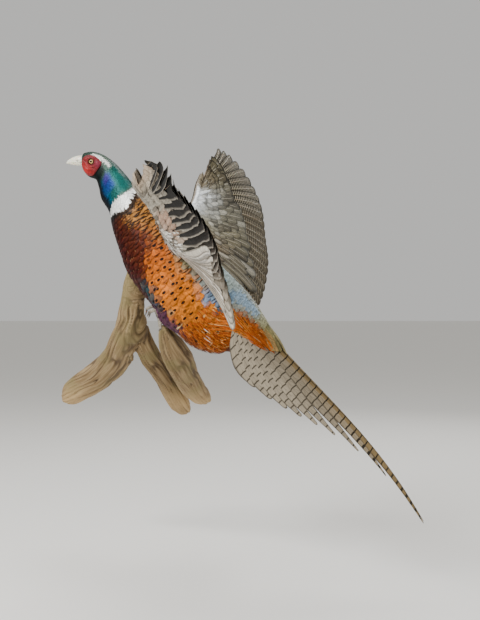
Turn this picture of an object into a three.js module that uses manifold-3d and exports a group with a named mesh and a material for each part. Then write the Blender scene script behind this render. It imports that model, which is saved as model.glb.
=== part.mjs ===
// Cock ring-necked pheasant, mounted in rising flight on a piece of driftwood that hangs on a wall.
// Millimetres, +Z up. The origin is the middle of the driftwood's sawn flat back, which lies against
// the wall; +Y points into the wall, and the bird climbs towards -X with its back rolled outwards.
import * as THREE from 'three';
import { mergeVertices } from 'three/addons/utils/BufferGeometryUtils.js';
import Module from 'manifold-3d';

const wasm = await Module();
wasm.setup();

// ---------------------------------------------------------------- driving dimensions
const GAP = 0.3;                                  // kept between two nodes that meet
const PITCH = THREE.MathUtils.degToRad(50);       // the bird climbs at this angle
const ROLL = THREE.MathUtils.degToRad(13);        // its back leans away from the wall
const BODY_CENTRE = new THREE.Vector3(59, -340, -36);
const SECTION_POWER = 2.15;                       // body sections are slightly fuller than ellipses

// The body's back line and belly line in the bird's own mirror plane, as [forward, up] from the body
// centre, and half its width there, all out to the tips of the lying feathers.
const BODY = [
  { name: 'bill root', back: [276, 26], belly: [262, 15], half: 7.5 },
  { name: 'lores', back: [275.5, 33], belly: [252, 12], half: 11.5 },
  { name: 'eye', back: [267.5, 44.8], belly: [240, 13], half: 15 },
  { name: 'ear', back: [254.5, 53.8], belly: [229, 19], half: 16 },
  { name: 'throat', back: [235, 60], belly: [215, 14], half: 18 },
  { name: 'neck', back: [213, 62], belly: [198, 5], half: 21 },
  { name: 'collar', back: [181, 62], belly: [172, 1], half: 28 },
  { name: 'neck base', back: [147, 69], belly: [151, -11], half: 38 },
  { name: 'shoulders', back: [108, 77], belly: [118, -25], half: 49 },
  { name: 'breast', back: [64, 82], belly: [74, -42], half: 56 },
  { name: 'ribs', back: [17, 85], belly: [22, -46], half: 58 },
  { name: 'belly', back: [-30, 88], belly: [-35, -42], half: 54 },
  { name: 'flanks', back: [-71, 92], belly: [-90, -38], half: 46 },
  { name: 'vent', back: [-103, 92], belly: [-131, -8], half: 36 },
  { name: 'rump', back: [-132, 88], belly: [-139, 36], half: 30 },
  { name: 'tail root', back: [-162, 84], belly: [-162, 63], half: 25 },
];
const CUT = 0.015;                                // width of a parting cut, as a share of a station

// The two halves of the bill meet at its tip; depths and rises are shares of the bill root's own depth.
const BILL = {
  tip: [285, -2],
  halfWidth: 5.6,
  upper: { side: 1, depth: 0.52, rise: 0.44, reach: 1, hook: 3.2, width: 1 },
  lower: { side: -1, depth: 0.36, rise: 0.6, reach: 0.84, hook: 0.8, width: 0.85 },
};
const EYE = { at: [254, 35.5], radius: 5.5, sunk: 3.8 };
const FACE_SKIN = { at: [250.7, 30], rise: 1.6, length: 31, depth: 35 };

// How finely each rounded part is cut into facets: rings along it and sides around it.
const FACETS = {
  head: { rings: 2, sides: 18 },          // rings per body station
  neck: { rings: 2.5, sides: 18 },
  trunk: { rings: 2, sides: 22 },
  rump: { rings: 3, sides: 22 },
  bill: { rings: 7, sides: 12 },
  eye: { rings: 8, sides: 12 },
  arm: { columns: 12, rows: 5 },
  vane: { columns: 3, rows: 2 },          // columns per feather
  tail: { columns: 2, rows: 38 },
  thigh: { rings: 6, sides: 14 },
  shank: { rings: 4, sides: 8 },
  spur: { rings: 2, sides: 6 },
  toe: { rings: 6, sides: 6 },
  wood: { crown: 6, left: 10, middle: 9, right: 9, stub: 6, sides: 12 },
};

// Each wing as [forward, up, out] from the body centre: the leading edge from hand to shoulder, the line
// of quill roots along hand and forearm, and the line of feather tips, all from the first primary inwards.
// The left wing is at the top of its stroke; the right one is half a beat lower.
const WINGS = {
  left: {
    side: 1,
    leading: [[157, 131, 222], [151, 111, 195], [142, 98, 160], [117, 90, 118], [100, 77, 80], [84, 58, 38]],
    roots: [[137, 121, 209], [129, 114, 191], [121, 108, 173], [113, 102, 155], [80, 90, 132], [50, 78, 105],
      [44, 60, 44]],
    tips: [[137, 168, 300], [108, 193, 345], [74, 189, 375], [50, 187, 358], [22, 179, 325], [-8, 163, 285],
      [-28, 145, 250], [-85, 100, 180], [-117, 63, 108]],
  },
  right: {
    side: -1,
    leading: [[151, 131, 216], [140, 113, 200], [118, 97, 160], [104, 84, 118], [98, 70, 80], [92, 52, 40]],
    roots: [[137, 119, 212], [128, 110, 194], [119, 102, 177], [110, 94, 160], [78, 84, 134], [50, 75, 105],
      [44, 60, 44]],
    tips: [[181, 168, 310], [158, 174, 345], [113, 173, 370], [64, 163, 372], [26, 151, 352], [-20, 128, 310],
      [-61, 109, 265], [-98, 82, 190], [-118, 62, 108]],
  },
};
const FLIGHT_FEATHERS = {
  covered: 0.4,                  // share of each one's length under the coverts
  camber: 13,
  primaries: 10,
  secondaries: 12,
  primaryShare: 0.54,            // share of the wing's tip line that the primaries take
  scallop: 7,                    // how far the notch between two rounded tips cuts in
  quillThick: 2.4,
  tipThick: 1.0,
};
const ARM_THICK = 15;            // the fleshed arm with its coverts, at its thickest
const SKIN_THICK = 2.6;          // and along its edges

// Tail feathers from the middle pair out: each one's length, and how far its tip is from the ridge.
const TAIL = {
  root: [-110, 74],
  lengths: [459, 355, 292, 245, 212, 184, 158, 130, 98],
  spread: [5, 18, 32, 47, 60, 72, 82, 91, 98],
  rootPitch: 5.6,                // spacing of the quills where they leave the body
  halfVane: 13,
  tipTaper: 70,
  slope: THREE.MathUtils.degToRad(34),            // each half falls away from the ridge like a roof
  arch: 14,                      // how far the ridge bows up, most of it past the middle
  archPlace: 1.6,
  droop: 2,
  thick: 1.8,
};

const LEG = {
  knee: [12, -2, 40], hock: [-81, -12, 34], ankle: [-22, -44, 36],
  thighRadius: [17, 27, 25, 15, 7],
  shankRadius: 4.2,
  spur: 11,
};
// Toes as [forward, up, left] steps from the ankle: three in front that curl down, one behind.
const TOES = [
  [[8, 6, 2], [22, 8, 3], [27, -4, 2], [20, -15, 0]],
  [[7, 5, -3], [17, 3, -9], [20, -8, -10], [14, -16, -10]],
  [[6, 6, 6], [15, 8, 12], [20, 0, 14], [16, -10, 13]],
  [[-6, -4, 0], [-13, -9, -1], [-14, -15, -1]],
];
const TOE_RADIUS = 3.1;

// Driftwood limbs: middle line points [x, y, z] and the half width there, from the top down.
const WOOD = {
  crown: [[-10, -300, 9, 9], [-14, -298, -12, 17], [-20, -280, -55, 23], [-26, -250, -97, 28], [-29, -236, -116, 28]],
  left: [[-28, -262, -96, 20], [-38, -235, -117, 24], [-62, -175, -156, 28], [-102, -120, -195, 31],
    [-145, -70, -223, 28], [-175, -42, -241, 21], [-186, -34, -247, 11]],
  middle: [[-8, -240, -98, 13], [-7, -222, -124, 16], [1, -185, -158, 19], [16, -140, -190, 19],
    [36, -95, -230, 20], [54, -58, -262, 18], [62, -46, -274, 10]],
  right: [[39, -338, -98, 8], [45, -318, -118, 17], [57, -262, -157, 26], [68, -190, -193, 26],
    [84, -125, -225, 22], [97, -82, -244, 16], [103, -68, -250, 8]],
  stub: [[-14, -292, -34, 19], [-10, -190, -26, 21], [-3, -80, -8, 23], [0, 0, 0, 26]],
  flatness: 0.82,                // depth of a limb over its width
  fluting: 0.07,                 // the weather-worn ridges along the grain
  squareness: 2.1,               // 2 is an ellipse
};

const COLOUR = {
  head: 0x14404a, neck: 0x123a5c, trunk: 0x8a4a1c, rump: 0x6f7f86, bill: 0xd8d4b8, face: 0xa81e1a, eye: 0xd8b45a,
  wingArm: 0x8b9096, primaries: 0x6a6255, secondaries: 0x7d7464, tail: 0x8d8068, thigh: 0x7a3a1a, leg: 0x9a9484,
  wood: 0x8a7358,
};

// ---------------------------------------------------------------- the bird's own axes
const FORWARD = new THREE.Vector3(-Math.cos(PITCH), 0, Math.sin(PITCH));
const UP = new THREE.Vector3(Math.sin(PITCH), 0, Math.cos(PITCH))
  .multiplyScalar(Math.cos(ROLL)).add(new THREE.Vector3(0, -Math.sin(ROLL), 0));
const LEFT = new THREE.Vector3().crossVectors(UP, FORWARD);

function bird(forward, up, left = 0) {
  return BODY_CENTRE.clone()
    .addScaledVector(FORWARD, forward)
    .addScaledVector(UP, up)
    .addScaledVector(LEFT, left);
}

// ---------------------------------------------------------------- small helpers
const group = new THREE.Group();

function curve(points) {
  return new THREE.CatmullRomCurve3(points, false, 'centripetal');
}

function mix(a, b, t) {
  return a + (b - a) * t;
}

// A value read from evenly spaced keys, smooth through each of them.
function ramp(keys, t) {
  const line = new THREE.CatmullRomCurve3(keys.map((value, i) => new THREE.Vector3(i, value, 0)));
  return line.getPoint(THREE.MathUtils.clamp(t, 0, 1)).y;
}

function closed(geometry) {
  geometry.deleteAttribute('normal');
  geometry.deleteAttribute('uv');
  const merged = mergeVertices(geometry, 1e-4);
  const position = merged.attributes.position;
  const index = merged.index.array;
  const corner = [0, 1, 2].map(() => new THREE.Vector3());
  const kept = [];
  let volume = 0;
  for (let i = 0; i < index.length; i += 3) {
    const [a, b, c] = index.slice(i, i + 3);
    if (a === b || b === c || c === a) continue;
    kept.push(a, b, c);
    corner.forEach((v, k) => v.fromBufferAttribute(position, index[i + k]));
    volume += corner[0].dot(corner[1].clone().cross(corner[2]));
  }
  if (volume < 0) kept.reverse();
  merged.setIndex(kept);
  return merged;
}

function toManifold(geometry) {
  const mesh = new wasm.Mesh({
    numProp: 3,
    vertProperties: new Float32Array(geometry.attributes.position.array),
    triVerts: new Uint32Array(geometry.index.array),
  });
  return new wasm.Manifold(mesh);
}

function toGeometry(manifold) {
  const mesh = manifold.getMesh();
  const geometry = new THREE.BufferGeometry();
  geometry.setAttribute('position', new THREE.BufferAttribute(new Float32Array(mesh.vertProperties), 3));
  geometry.setIndex(new THREE.BufferAttribute(new Uint32Array(mesh.triVerts), 1));
  return geometry;
}

function add(name, manifold, color, roughness = 0.7, metalness = 0) {
  const geometry = toGeometry(manifold);
  geometry.computeVertexNormals();
  const mesh = new THREE.Mesh(geometry, new THREE.MeshStandardMaterial({ color, roughness, metalness }));
  mesh.name = name;
  group.add(mesh);
  return manifold;
}

// A closed skin over cross-sections: section(t) gives the centre and two half axes for t from 0 to 1.
function loft(section, rings, around, power = 2) {
  const geometry = new THREE.CylinderGeometry(1, 1, 1, around, rings);
  const position = geometry.attributes.position;
  for (let i = 0; i < position.count; i += 1) {
    const t = 0.5 - position.getY(i);
    const { centre, a, b } = section(t);
    const reach = Math.hypot(position.getX(i), position.getZ(i));
    const round = (value) => Math.sign(value) * Math.abs(value) ** (2 / power) * reach;
    const point = centre.clone()
      .addScaledVector(a, round(position.getX(i)))
      .addScaledVector(b, round(position.getZ(i)));
    position.setXYZ(i, point.x, point.y, point.z);
  }
  return toManifold(closed(geometry));
}

// A plate whose middle surface is surface(u, v), with its thickness and the way it faces at each place.
function plate(surface, columns, rows) {
  const geometry = new THREE.BoxGeometry(1, 1, 1, columns, rows, 1);
  const position = geometry.attributes.position;
  for (let i = 0; i < position.count; i += 1) {
    const u = position.getX(i) + 0.5;
    const v = position.getY(i) + 0.5;
    const { at, facing, thick } = surface(u, v);
    const point = at.clone().addScaledVector(facing, thick * position.getZ(i));
    position.setXYZ(i, point.x, point.y, point.z);
  }
  return toManifold(closed(geometry));
}

// ---------------------------------------------------------------- body
const last = BODY.length - 1;
const station = (name) => BODY.findIndex((entry) => entry.name === name);
const backLine = curve(BODY.map((entry) => bird(...entry.back)));
const bellyLine = curve(BODY.map((entry) => bird(...entry.belly)));

function bodySection(place, grow) {
  const t = THREE.MathUtils.clamp(place / last, 0, 1);
  const back = backLine.getPoint(t);
  const belly = bellyLine.getPoint(t);
  const depth = back.clone().sub(belly).multiplyScalar(0.5);
  return {
    centre: back.add(belly).multiplyScalar(0.5),
    a: LEFT.clone().multiplyScalar(ramp(BODY.map((entry) => entry.half), t) + grow),
    b: depth.clone().setLength(depth.length() + grow),
  };
}

function bodyPart(from, to, { rings, sides }, grow = 0) {
  const section = (t) => bodySection(mix(from, to, t), grow);
  return loft(section, Math.round((to - from) * rings), sides, SECTION_POWER);
}

const headShape = (grow) => bodyPart(0, station('throat') - CUT, FACETS.head, grow);
const neck = bodyPart(station('throat'), station('collar') - CUT, FACETS.neck);
const trunk = bodyPart(station('collar'), station('vent') - CUT, FACETS.trunk);
const rump = bodyPart(station('vent'), last, FACETS.rump);
const trunkRoom = bodyPart(station('collar'), last, FACETS.trunk, GAP * 2);

// ---------------------------------------------------------------- bill
function bill({ side, depth, rise, reach, hook, width }) {
  const root = bodySection(0, 0);
  const tip = bird(...BILL.tip);
  const deep = root.b.clone().multiplyScalar(depth);
  const start = root.centre.clone().addScaledVector(root.b, side * rise);
  const out = tip.clone().sub(root.centre).normalize();
  const arch = deep.clone().normalize();
  const section = (t) => {
    const along = mix(GAP / 20, reach, t);
    const size = Math.max(0.06, Math.sqrt(1 - t * 0.97) * (1 - 0.25 * t));
    return {
      centre: start.clone().lerp(tip, along)
        .addScaledVector(arch, hook * Math.sin(Math.PI * along))
        .addScaledVector(out, GAP),
      a: LEFT.clone().multiplyScalar(BILL.halfWidth * width * size),
      b: deep.clone().multiplyScalar(size),
    };
  };
  return loft(section, FACETS.bill.rings, FACETS.bill.sides);
}

const upperBill = bill(BILL.upper);
const lowerBill = bill(BILL.lower).subtract(upperBill);

// ---------------------------------------------------------------- eyes and red face skin
function eyeBall(side, grow) {
  const place = bird(...EYE.at, side * (BODY[station('eye')].half - EYE.sunk));
  const geometry = new THREE.SphereGeometry(EYE.radius + grow, FACETS.eye.sides, FACETS.eye.rings);
  geometry.translate(place.x, place.y, place.z);
  return toManifold(closed(geometry));
}

// The wattle hugs the cheek: a shell of the head's own shape, cut out by an egg-shaped outline.
function faceSkin(side) {
  const outline = new THREE.Shape();
  outline.absellipse(0, 0, FACE_SKIN.length / 2, FACE_SKIN.depth / 2, 0, Math.PI * 2);
  const punch = new THREE.ExtrudeGeometry(outline, { depth: 30, bevelEnabled: false, curveSegments: 10 });
  const place = new THREE.Matrix4()
    .makeBasis(FORWARD.clone().multiplyScalar(side), UP, LEFT.clone().multiplyScalar(side))
    .setPosition(bird(...FACE_SKIN.at, side * 3));
  const shape = toManifold(closed(punch.applyMatrix4(place)));
  const shell = headShape(FACE_SKIN.rise).subtract(headShape(GAP));
  return shell.intersect(shape).subtract(eyeBall(side, GAP)).subtract(upperBill);
}

const headWithSockets = headShape(0).subtract(eyeBall(1, GAP)).subtract(eyeBall(-1, GAP));

// ---------------------------------------------------------------- wings
function wing({ side, leading, roots, tips }) {
  const line = (keys) => curve(keys.map(([forward, up, out]) => bird(forward, up, side * out)));
  const [leadingLine, rootLine, tipLine] = [leading, roots, tips].map(line);
  const split = FLIGHT_FEATHERS.primaryShare;

  // A place on the spread wing: u from the first primary inwards, v from a quill's root to its tip.
  const onFeather = (u, v) => {
    const root = rootLine.getPoint(u);
    const across = rootLine.getPoint(Math.min(u + 0.05, 1)).sub(rootLine.getPoint(Math.max(u - 0.05, 0)));
    const facing = across.cross(tipLine.getPoint(u).sub(root)).normalize();
    if (facing.dot(UP) < 0) facing.negate();
    const bow = FLIGHT_FEATHERS.camber * Math.sin(Math.PI * v);
    return { at: root.lerp(tipLine.getPoint(u), v).addScaledVector(facing, bow), facing };
  };

  const { vane } = FACETS;
  const vanes = (from, to, feathers) => plate((across, along) => {
    const u = mix(from, to, across);
    const length = rootLine.getPoint(u).distanceTo(tipLine.getPoint(u));
    const offMiddle = 2 * Math.abs((across * feathers) % 1 - 0.5);
    const reach = 1 - FLIGHT_FEATHERS.scallop / length * offMiddle ** 2;
    const v = mix(FLIGHT_FEATHERS.covered + GAP / 100, reach, along);
    return { ...onFeather(u, v), thick: mix(FLIGHT_FEATHERS.quillThick, FLIGHT_FEATHERS.tipThick, along) };
  }, feathers * vane.columns, vane.rows);

  // The arm is fullest over its bones, which lie behind the leading edge.
  const boneLine = 0.4;
  const arm = plate((u, along) => {
    const v = Math.max(0, along - boneLine) / (1 - boneLine) * FLIGHT_FEATHERS.covered;
    const { at, facing } = onFeather(u, v);
    if (along < boneLine) at.lerp(leadingLine.getPoint(u), 1 - along / boneLine);
    const fullness = Math.max(0, Math.sin(Math.PI * Math.min(1, along * 1.25 + 0.12))) ** 1.2;
    return { at, facing, thick: SKIN_THICK + ARM_THICK * fullness * mix(0.45, 1, u) };
  }, FACETS.arm.columns, FACETS.arm.rows);

  return {
    arm: arm.subtract(trunkRoom),
    primaries: vanes(0, split - GAP / 600, FLIGHT_FEATHERS.primaries),
    secondaries: vanes(split + GAP / 600, 1, FLIGHT_FEATHERS.secondaries),
  };
}

// ---------------------------------------------------------------- tail
function tailEdge(along) {
  const reach = TAIL.lengths.map((length, i) => {
    if (along >= length) return 0;
    const middle = mix(2 + i * TAIL.rootPitch, TAIL.spread[i], along / length);
    return middle + TAIL.halfVane * Math.min(1, ((length - along) / TAIL.tipTaper) ** 0.6);
  });
  return Math.max(2.2, ...reach);
}

function tailHalf(side) {
  const whole = TAIL.lengths[0];
  const inner = (GAP + TAIL.thick * Math.sin(TAIL.slope)) / (2 * Math.cos(TAIL.slope));
  const surface = (across, t) => {
    const along = t * whole;
    const out = mix(inner, tailEdge(along), across);
    const fall = out * Math.sin(TAIL.slope);
    const up = TAIL.root[1] + TAIL.arch * Math.sin(Math.PI * t ** TAIL.archPlace) - fall - TAIL.droop * t;
    const at = bird(TAIL.root[0] - along, up, side * out * Math.cos(TAIL.slope));
    const facing = UP.clone().multiplyScalar(Math.cos(TAIL.slope))
      .addScaledVector(LEFT, side * Math.sin(TAIL.slope));
    return { at, facing, thick: TAIL.thick };
  };
  return plate(surface, FACETS.tail.columns, FACETS.tail.rows).subtract(trunkRoom);
}

// ---------------------------------------------------------------- legs
function limb(points, radii, { rings, sides }) {
  const line = curve(points);
  const section = (t) => {
    const along = line.getTangent(t);
    const a = new THREE.Vector3().crossVectors(along, UP).normalize();
    const b = new THREE.Vector3().crossVectors(a, along).normalize();
    const radius = ramp(radii, t);
    return { centre: line.getPoint(t), a: a.multiplyScalar(radius), b: b.multiplyScalar(radius) };
  };
  return loft(section, rings, sides);
}

function leg(side) {
  const at = ([forward, up, out], step = [0, 0, 0]) => (
    bird(forward + step[0], up + step[1], side * (out + step[2])));
  const [knee, hock, ankle] = [at(LEG.knee), at(LEG.hock), at(LEG.ankle)];
  const thighOf = (grow) => limb([knee, knee.clone().lerp(hock, 0.5), hock],
    LEG.thighRadius.map((radius) => radius + grow), FACETS.thigh);
  const heel = hock.clone().lerp(ankle, 0.08);
  const shankOf = (grow) => limb([heel, hock.clone().lerp(ankle, 0.5), ankle],
    [6.2, LEG.shankRadius, LEG.shankRadius, 5].map((radius) => radius + grow), FACETS.shank);
  const spurRoot = hock.clone().lerp(ankle, 0.62);
  const spurTip = spurRoot.clone().addScaledVector(UP, -LEG.spur).addScaledVector(LEFT, -side * 5);
  const spur = limb([spurRoot, spurTip], [2.6, 0.5], FACETS.spur);
  const toes = TOES.map((steps) => {
    const path = [at(LEG.ankle, [-2, 0, 0]), ...steps.map((step) => at(LEG.ankle, step))];
    const radii = [4, TOE_RADIUS, TOE_RADIUS * 0.9, TOE_RADIUS * 0.75, 0.6];
    return limb(path, radii, FACETS.toe);
  });
  const foot = toes.reduce((whole, toe) => whole.add(toe));
  return {
    thigh: thighOf(0),
    thighRoom: thighOf(GAP),
    shank: shankOf(0).add(spur).subtract(thighOf(GAP)),
    shankRoom: shankOf(GAP),
    foot: foot.subtract(shankOf(GAP)).subtract(trunkRoom),
  };
}

// ---------------------------------------------------------------- driftwood
function woodLimb(name, grow = 0) {
  const keys = WOOD[name];
  const flatEnd = name === 'stub';
  const line = curve(keys.map(([x, y, z]) => new THREE.Vector3(x, y, z)));
  const widths = keys.map((key) => key[3]);
  const section = (t) => {
    const along = line.getTangent(t);
    const b = new THREE.Vector3(0, 1, 0);
    const a = new THREE.Vector3().crossVectors(b, along).normalize();
    b.crossVectors(along, a).normalize();
    if (flatEnd) {
      a.set(1, 0, 0);
      b.set(0, 0, 1);
    }
    const radius = ramp(widths, t) * (1 + WOOD.fluting * Math.sin(9 * t)) + grow;
    return {
      centre: line.getPoint(t),
      a: a.multiplyScalar(radius),
      b: b.multiplyScalar(radius * (flatEnd ? 1 : WOOD.flatness)),
    };
  };
  return loft(section, FACETS.wood[name], FACETS.wood.sides, WOOD.squareness);
}

// ---------------------------------------------------------------- assembly
const legs = { left: leg(1), right: leg(-1) };
let trunkCut = trunk;
let rumpCut = rump;
for (const side of Object.values(legs)) {
  trunkCut = trunkCut.subtract(side.thighRoom).subtract(side.shankRoom);
  rumpCut = rumpCut.subtract(side.thighRoom).subtract(side.shankRoom);
}

add('head', headWithSockets, COLOUR.head, 0.5);
add('neck', neck, COLOUR.neck, 0.5);
add('trunk', trunkCut, COLOUR.trunk);
add('rump', rumpCut, COLOUR.rump);
add('bill_upper', upperBill, COLOUR.bill, 0.4);
add('bill_lower', lowerBill, COLOUR.bill, 0.4);

for (const [name, side] of [['left', 1], ['right', -1]]) {
  add(`eye_${name}`, eyeBall(side, 0), COLOUR.eye, 0.1);
  add(`face_skin_${name}`, faceSkin(side), COLOUR.face, 0.6);
  const { arm, primaries, secondaries } = wing(WINGS[name]);
  add(`wing_${name}_arm`, arm, COLOUR.wingArm);
  add(`wing_${name}_primaries`, primaries, COLOUR.primaries);
  add(`wing_${name}_secondaries`, secondaries, COLOUR.secondaries);
  add(`tail_${name}`, tailHalf(side), COLOUR.tail);
  add(`thigh_${name}`, legs[name].thigh, COLOUR.thigh);
  add(`shank_${name}`, legs[name].shank, COLOUR.leg, 0.6);
  add(`foot_${name}`, legs[name].foot, COLOUR.leg, 0.6);
}

const bodyRoom = [trunkRoom, ...Object.values(legs).flatMap((side) => [side.thighRoom, side.shankRoom])];
const feet = Object.values(legs).map((side) => side.foot);
const clearOf = (solid, others) => others.reduce((rest, other) => rest.subtract(other), solid);
const crownRoom = woodLimb('crown', GAP);
const leftRoom = woodLimb('left', GAP);
const middleRoom = woodLimb('middle', GAP);
const driftwood = {
  crown: clearOf(woodLimb('crown'), bodyRoom),
  left_limb: clearOf(woodLimb('left'), [crownRoom]),
  middle_limb: clearOf(woodLimb('middle'), [crownRoom, leftRoom]),
  right_limb: clearOf(woodLimb('right'), [middleRoom, ...bodyRoom, ...feet]),
  wall_stub: clearOf(woodLimb('stub'), [crownRoom, leftRoom, middleRoom, ...bodyRoom]),
};
for (const [name, solid] of Object.entries(driftwood)) add(`driftwood_${name}`, solid, COLOUR.wood, 0.9);

export default group;
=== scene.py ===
import math

import bmesh
import bpy
import numpy as np
from bpy.props import FloatProperty, FloatVectorProperty, IntProperty
from mathutils import Matrix, Vector
from mathutils.bvhtree import BVHTree
from mathutils.kdtree import KDTree


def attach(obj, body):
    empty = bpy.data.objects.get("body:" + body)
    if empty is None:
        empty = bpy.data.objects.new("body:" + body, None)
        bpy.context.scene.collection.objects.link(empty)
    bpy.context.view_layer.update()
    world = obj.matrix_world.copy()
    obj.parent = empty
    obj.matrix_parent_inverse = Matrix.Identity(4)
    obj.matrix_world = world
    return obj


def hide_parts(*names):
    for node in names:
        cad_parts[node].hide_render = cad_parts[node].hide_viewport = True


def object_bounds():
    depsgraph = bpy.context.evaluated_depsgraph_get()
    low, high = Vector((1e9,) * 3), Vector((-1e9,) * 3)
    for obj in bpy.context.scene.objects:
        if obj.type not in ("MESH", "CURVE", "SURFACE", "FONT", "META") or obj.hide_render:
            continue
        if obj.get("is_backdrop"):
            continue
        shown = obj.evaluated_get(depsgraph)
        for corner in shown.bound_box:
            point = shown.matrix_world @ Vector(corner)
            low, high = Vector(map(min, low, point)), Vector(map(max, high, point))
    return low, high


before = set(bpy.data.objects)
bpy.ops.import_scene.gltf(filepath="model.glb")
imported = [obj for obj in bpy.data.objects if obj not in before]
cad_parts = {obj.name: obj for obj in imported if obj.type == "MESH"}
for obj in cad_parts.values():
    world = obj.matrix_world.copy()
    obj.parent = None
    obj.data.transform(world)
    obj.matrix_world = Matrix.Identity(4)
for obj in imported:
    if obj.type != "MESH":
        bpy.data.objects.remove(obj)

bl_info = {
    "name": "Mounted pheasant",
    "version": (1, 0, 0),
    "blender": (4, 5, 0),
    "location": "View3D > Sidebar > Pheasant",
    "description": "Feathers, skin, head, legs, driftwood and studio of a mounted cock pheasant",
    "category": "Object",
}

MM = 0.001
RIDES_ON = "root"

# ---------------------------------------------------------------- the bird's own axes, in millimetres
PITCH = math.radians(50)
ROLL = math.radians(13)
BODY_CENTRE = np.array([59.0, -340.0, -36.0])
FORWARD = np.array([-math.cos(PITCH), 0.0, math.sin(PITCH)])
UP = np.array([math.sin(PITCH) * math.cos(ROLL), -math.sin(ROLL), math.cos(PITCH) * math.cos(ROLL)])
LEFT = np.cross(UP, FORWARD)
SECTION_POWER = 2.15


def bird(forward, up, left):
    """Place in the frame, in millimetres, of a place on the bird's own axes."""
    parts = [np.asarray(value, float)[..., None] for value in (forward, up, left)]
    return BODY_CENTRE + FORWARD * parts[0] + UP * parts[1] + LEFT * parts[2]


def arrays(*values):
    """Numbers and arrays as arrays of one shape."""
    return np.broadcast_arrays(*(np.asarray(value, float) for value in values))


def each(values):
    """One number a feather, ready to meet its grid of places."""
    return np.asarray(values, float)[:, None, None]


def gap(a, b):
    return np.linalg.norm(a - b, axis=-1)


def unit(vectors):
    return vectors / np.maximum(np.linalg.norm(vectors, axis=-1, keepdims=True), 1e-9)


def mix(a, b, t):
    return a + (b - a) * t


def smooth(low, high, value):
    """0 below low, 1 above high, eased between."""
    t = np.clip((np.asarray(value, float) - low) / (high - low), 0, 1)
    return t * t * (3 - 2 * t)


def spline(points, t):
    """Centripetal Catmull-Rom through evenly keyed points, straight on past its ends."""
    keys = np.asarray(points, float)
    count = len(keys)
    keys = np.vstack([2 * keys[0] - keys[1], keys, 2 * keys[-1] - keys[-2]])
    t = np.asarray(t, float)
    inside = np.clip(t, 0, 1)
    place = inside * (count - 1)
    first = np.minimum(place.astype(int), count - 2)
    w = (place - first)[..., None]
    p = [keys[first + k] for k in range(4)]
    d = [np.maximum(np.sqrt(np.linalg.norm(p[k + 1] - p[k], axis=-1)), 1e-4)[..., None] for k in range(3)]
    leave = ((p[1] - p[0]) / d[0] - (p[2] - p[0]) / (d[0] + d[1]) + (p[2] - p[1]) / d[1]) * d[1]
    arrive = ((p[2] - p[1]) / d[1] - (p[3] - p[1]) / (d[1] + d[2]) + (p[3] - p[2]) / d[2]) * d[1]
    a, b = p[1], p[2]
    at = a + leave * w + (-3 * a + 3 * b - 2 * leave - arrive) * w ** 2 + (2 * a - 2 * b + leave + arrive) * w ** 3
    slope = np.where((t < 0)[..., None], keys[2] - keys[1], keys[-2] - keys[-3]) * (count - 1)
    return at + slope * (t - inside)[..., None]


def ramp(keys, t):
    """A number eased through evenly spaced keys."""
    return spline([[i, value, 0] for i, value in enumerate(keys)], t)[..., 1]


# ---------------------------------------------------------------- body shape, bill to tail, in millimetres
# each station: forward and up of the back, forward and up of the belly, half width
BODY = [
    (276, 26, 262, 15, 7.5), (275.5, 33, 252, 12, 11.5), (267.5, 44.8, 240, 13, 15), (254.5, 53.8, 229, 19, 16),
    (235, 60, 215, 14, 18), (213, 62, 198, 5, 21), (181, 62, 172, 1, 28), (147, 69, 151, -11, 38),
    (108, 77, 118, -25, 49), (64, 82, 74, -42, 56), (17, 85, 22, -46, 58), (-30, 88, -35, -42, 54),
    (-71, 92, -90, -38, 46), (-103, 92, -131, -8, 36), (-132, 88, -139, 36, 30), (-162, 84, -162, 63, 25),
]
LAST = len(BODY) - 1
TABLE_STEP = 200                       # table entries per station: middle, way up, half depth, half width
table_at = np.linspace(0, 1, LAST * TABLE_STEP + 1)
back_line = spline([bird(b, u, 0) for b, u, _, _, _ in BODY], table_at)
belly_line = spline([bird(b, u, 0) for _, _, b, u, _ in BODY], table_at)
BODY_TABLE = np.concatenate([
    (back_line + belly_line) / 2,
    unit(back_line - belly_line),
    np.linalg.norm(back_line - belly_line, axis=1, keepdims=True) / 2,
    ramp([row[4] for row in BODY], table_at)[:, None],
], axis=1)


def body_point(s, theta, lift):
    """On the body at station s, at an angle from the back round to the left, lift above the outline."""
    place = np.clip(np.asarray(s, float), 0, LAST) * TABLE_STEP
    low = np.minimum(place.astype(int), len(BODY_TABLE) - 2)
    w = (place - low)[..., None]
    row = BODY_TABLE[low] * (1 - w) + BODY_TABLE[low + 1] * w
    power = 2 / SECTION_POWER
    across = np.sign(np.sin(theta)) * np.abs(np.sin(theta)) ** power
    deep = np.sign(np.cos(theta)) * np.abs(np.cos(theta)) ** power
    return (row[..., :3] + LEFT * (across * (row[..., 7] + lift))[..., None]
            + row[..., 3:6] * (deep * (row[..., 6] + lift))[..., None])


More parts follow.
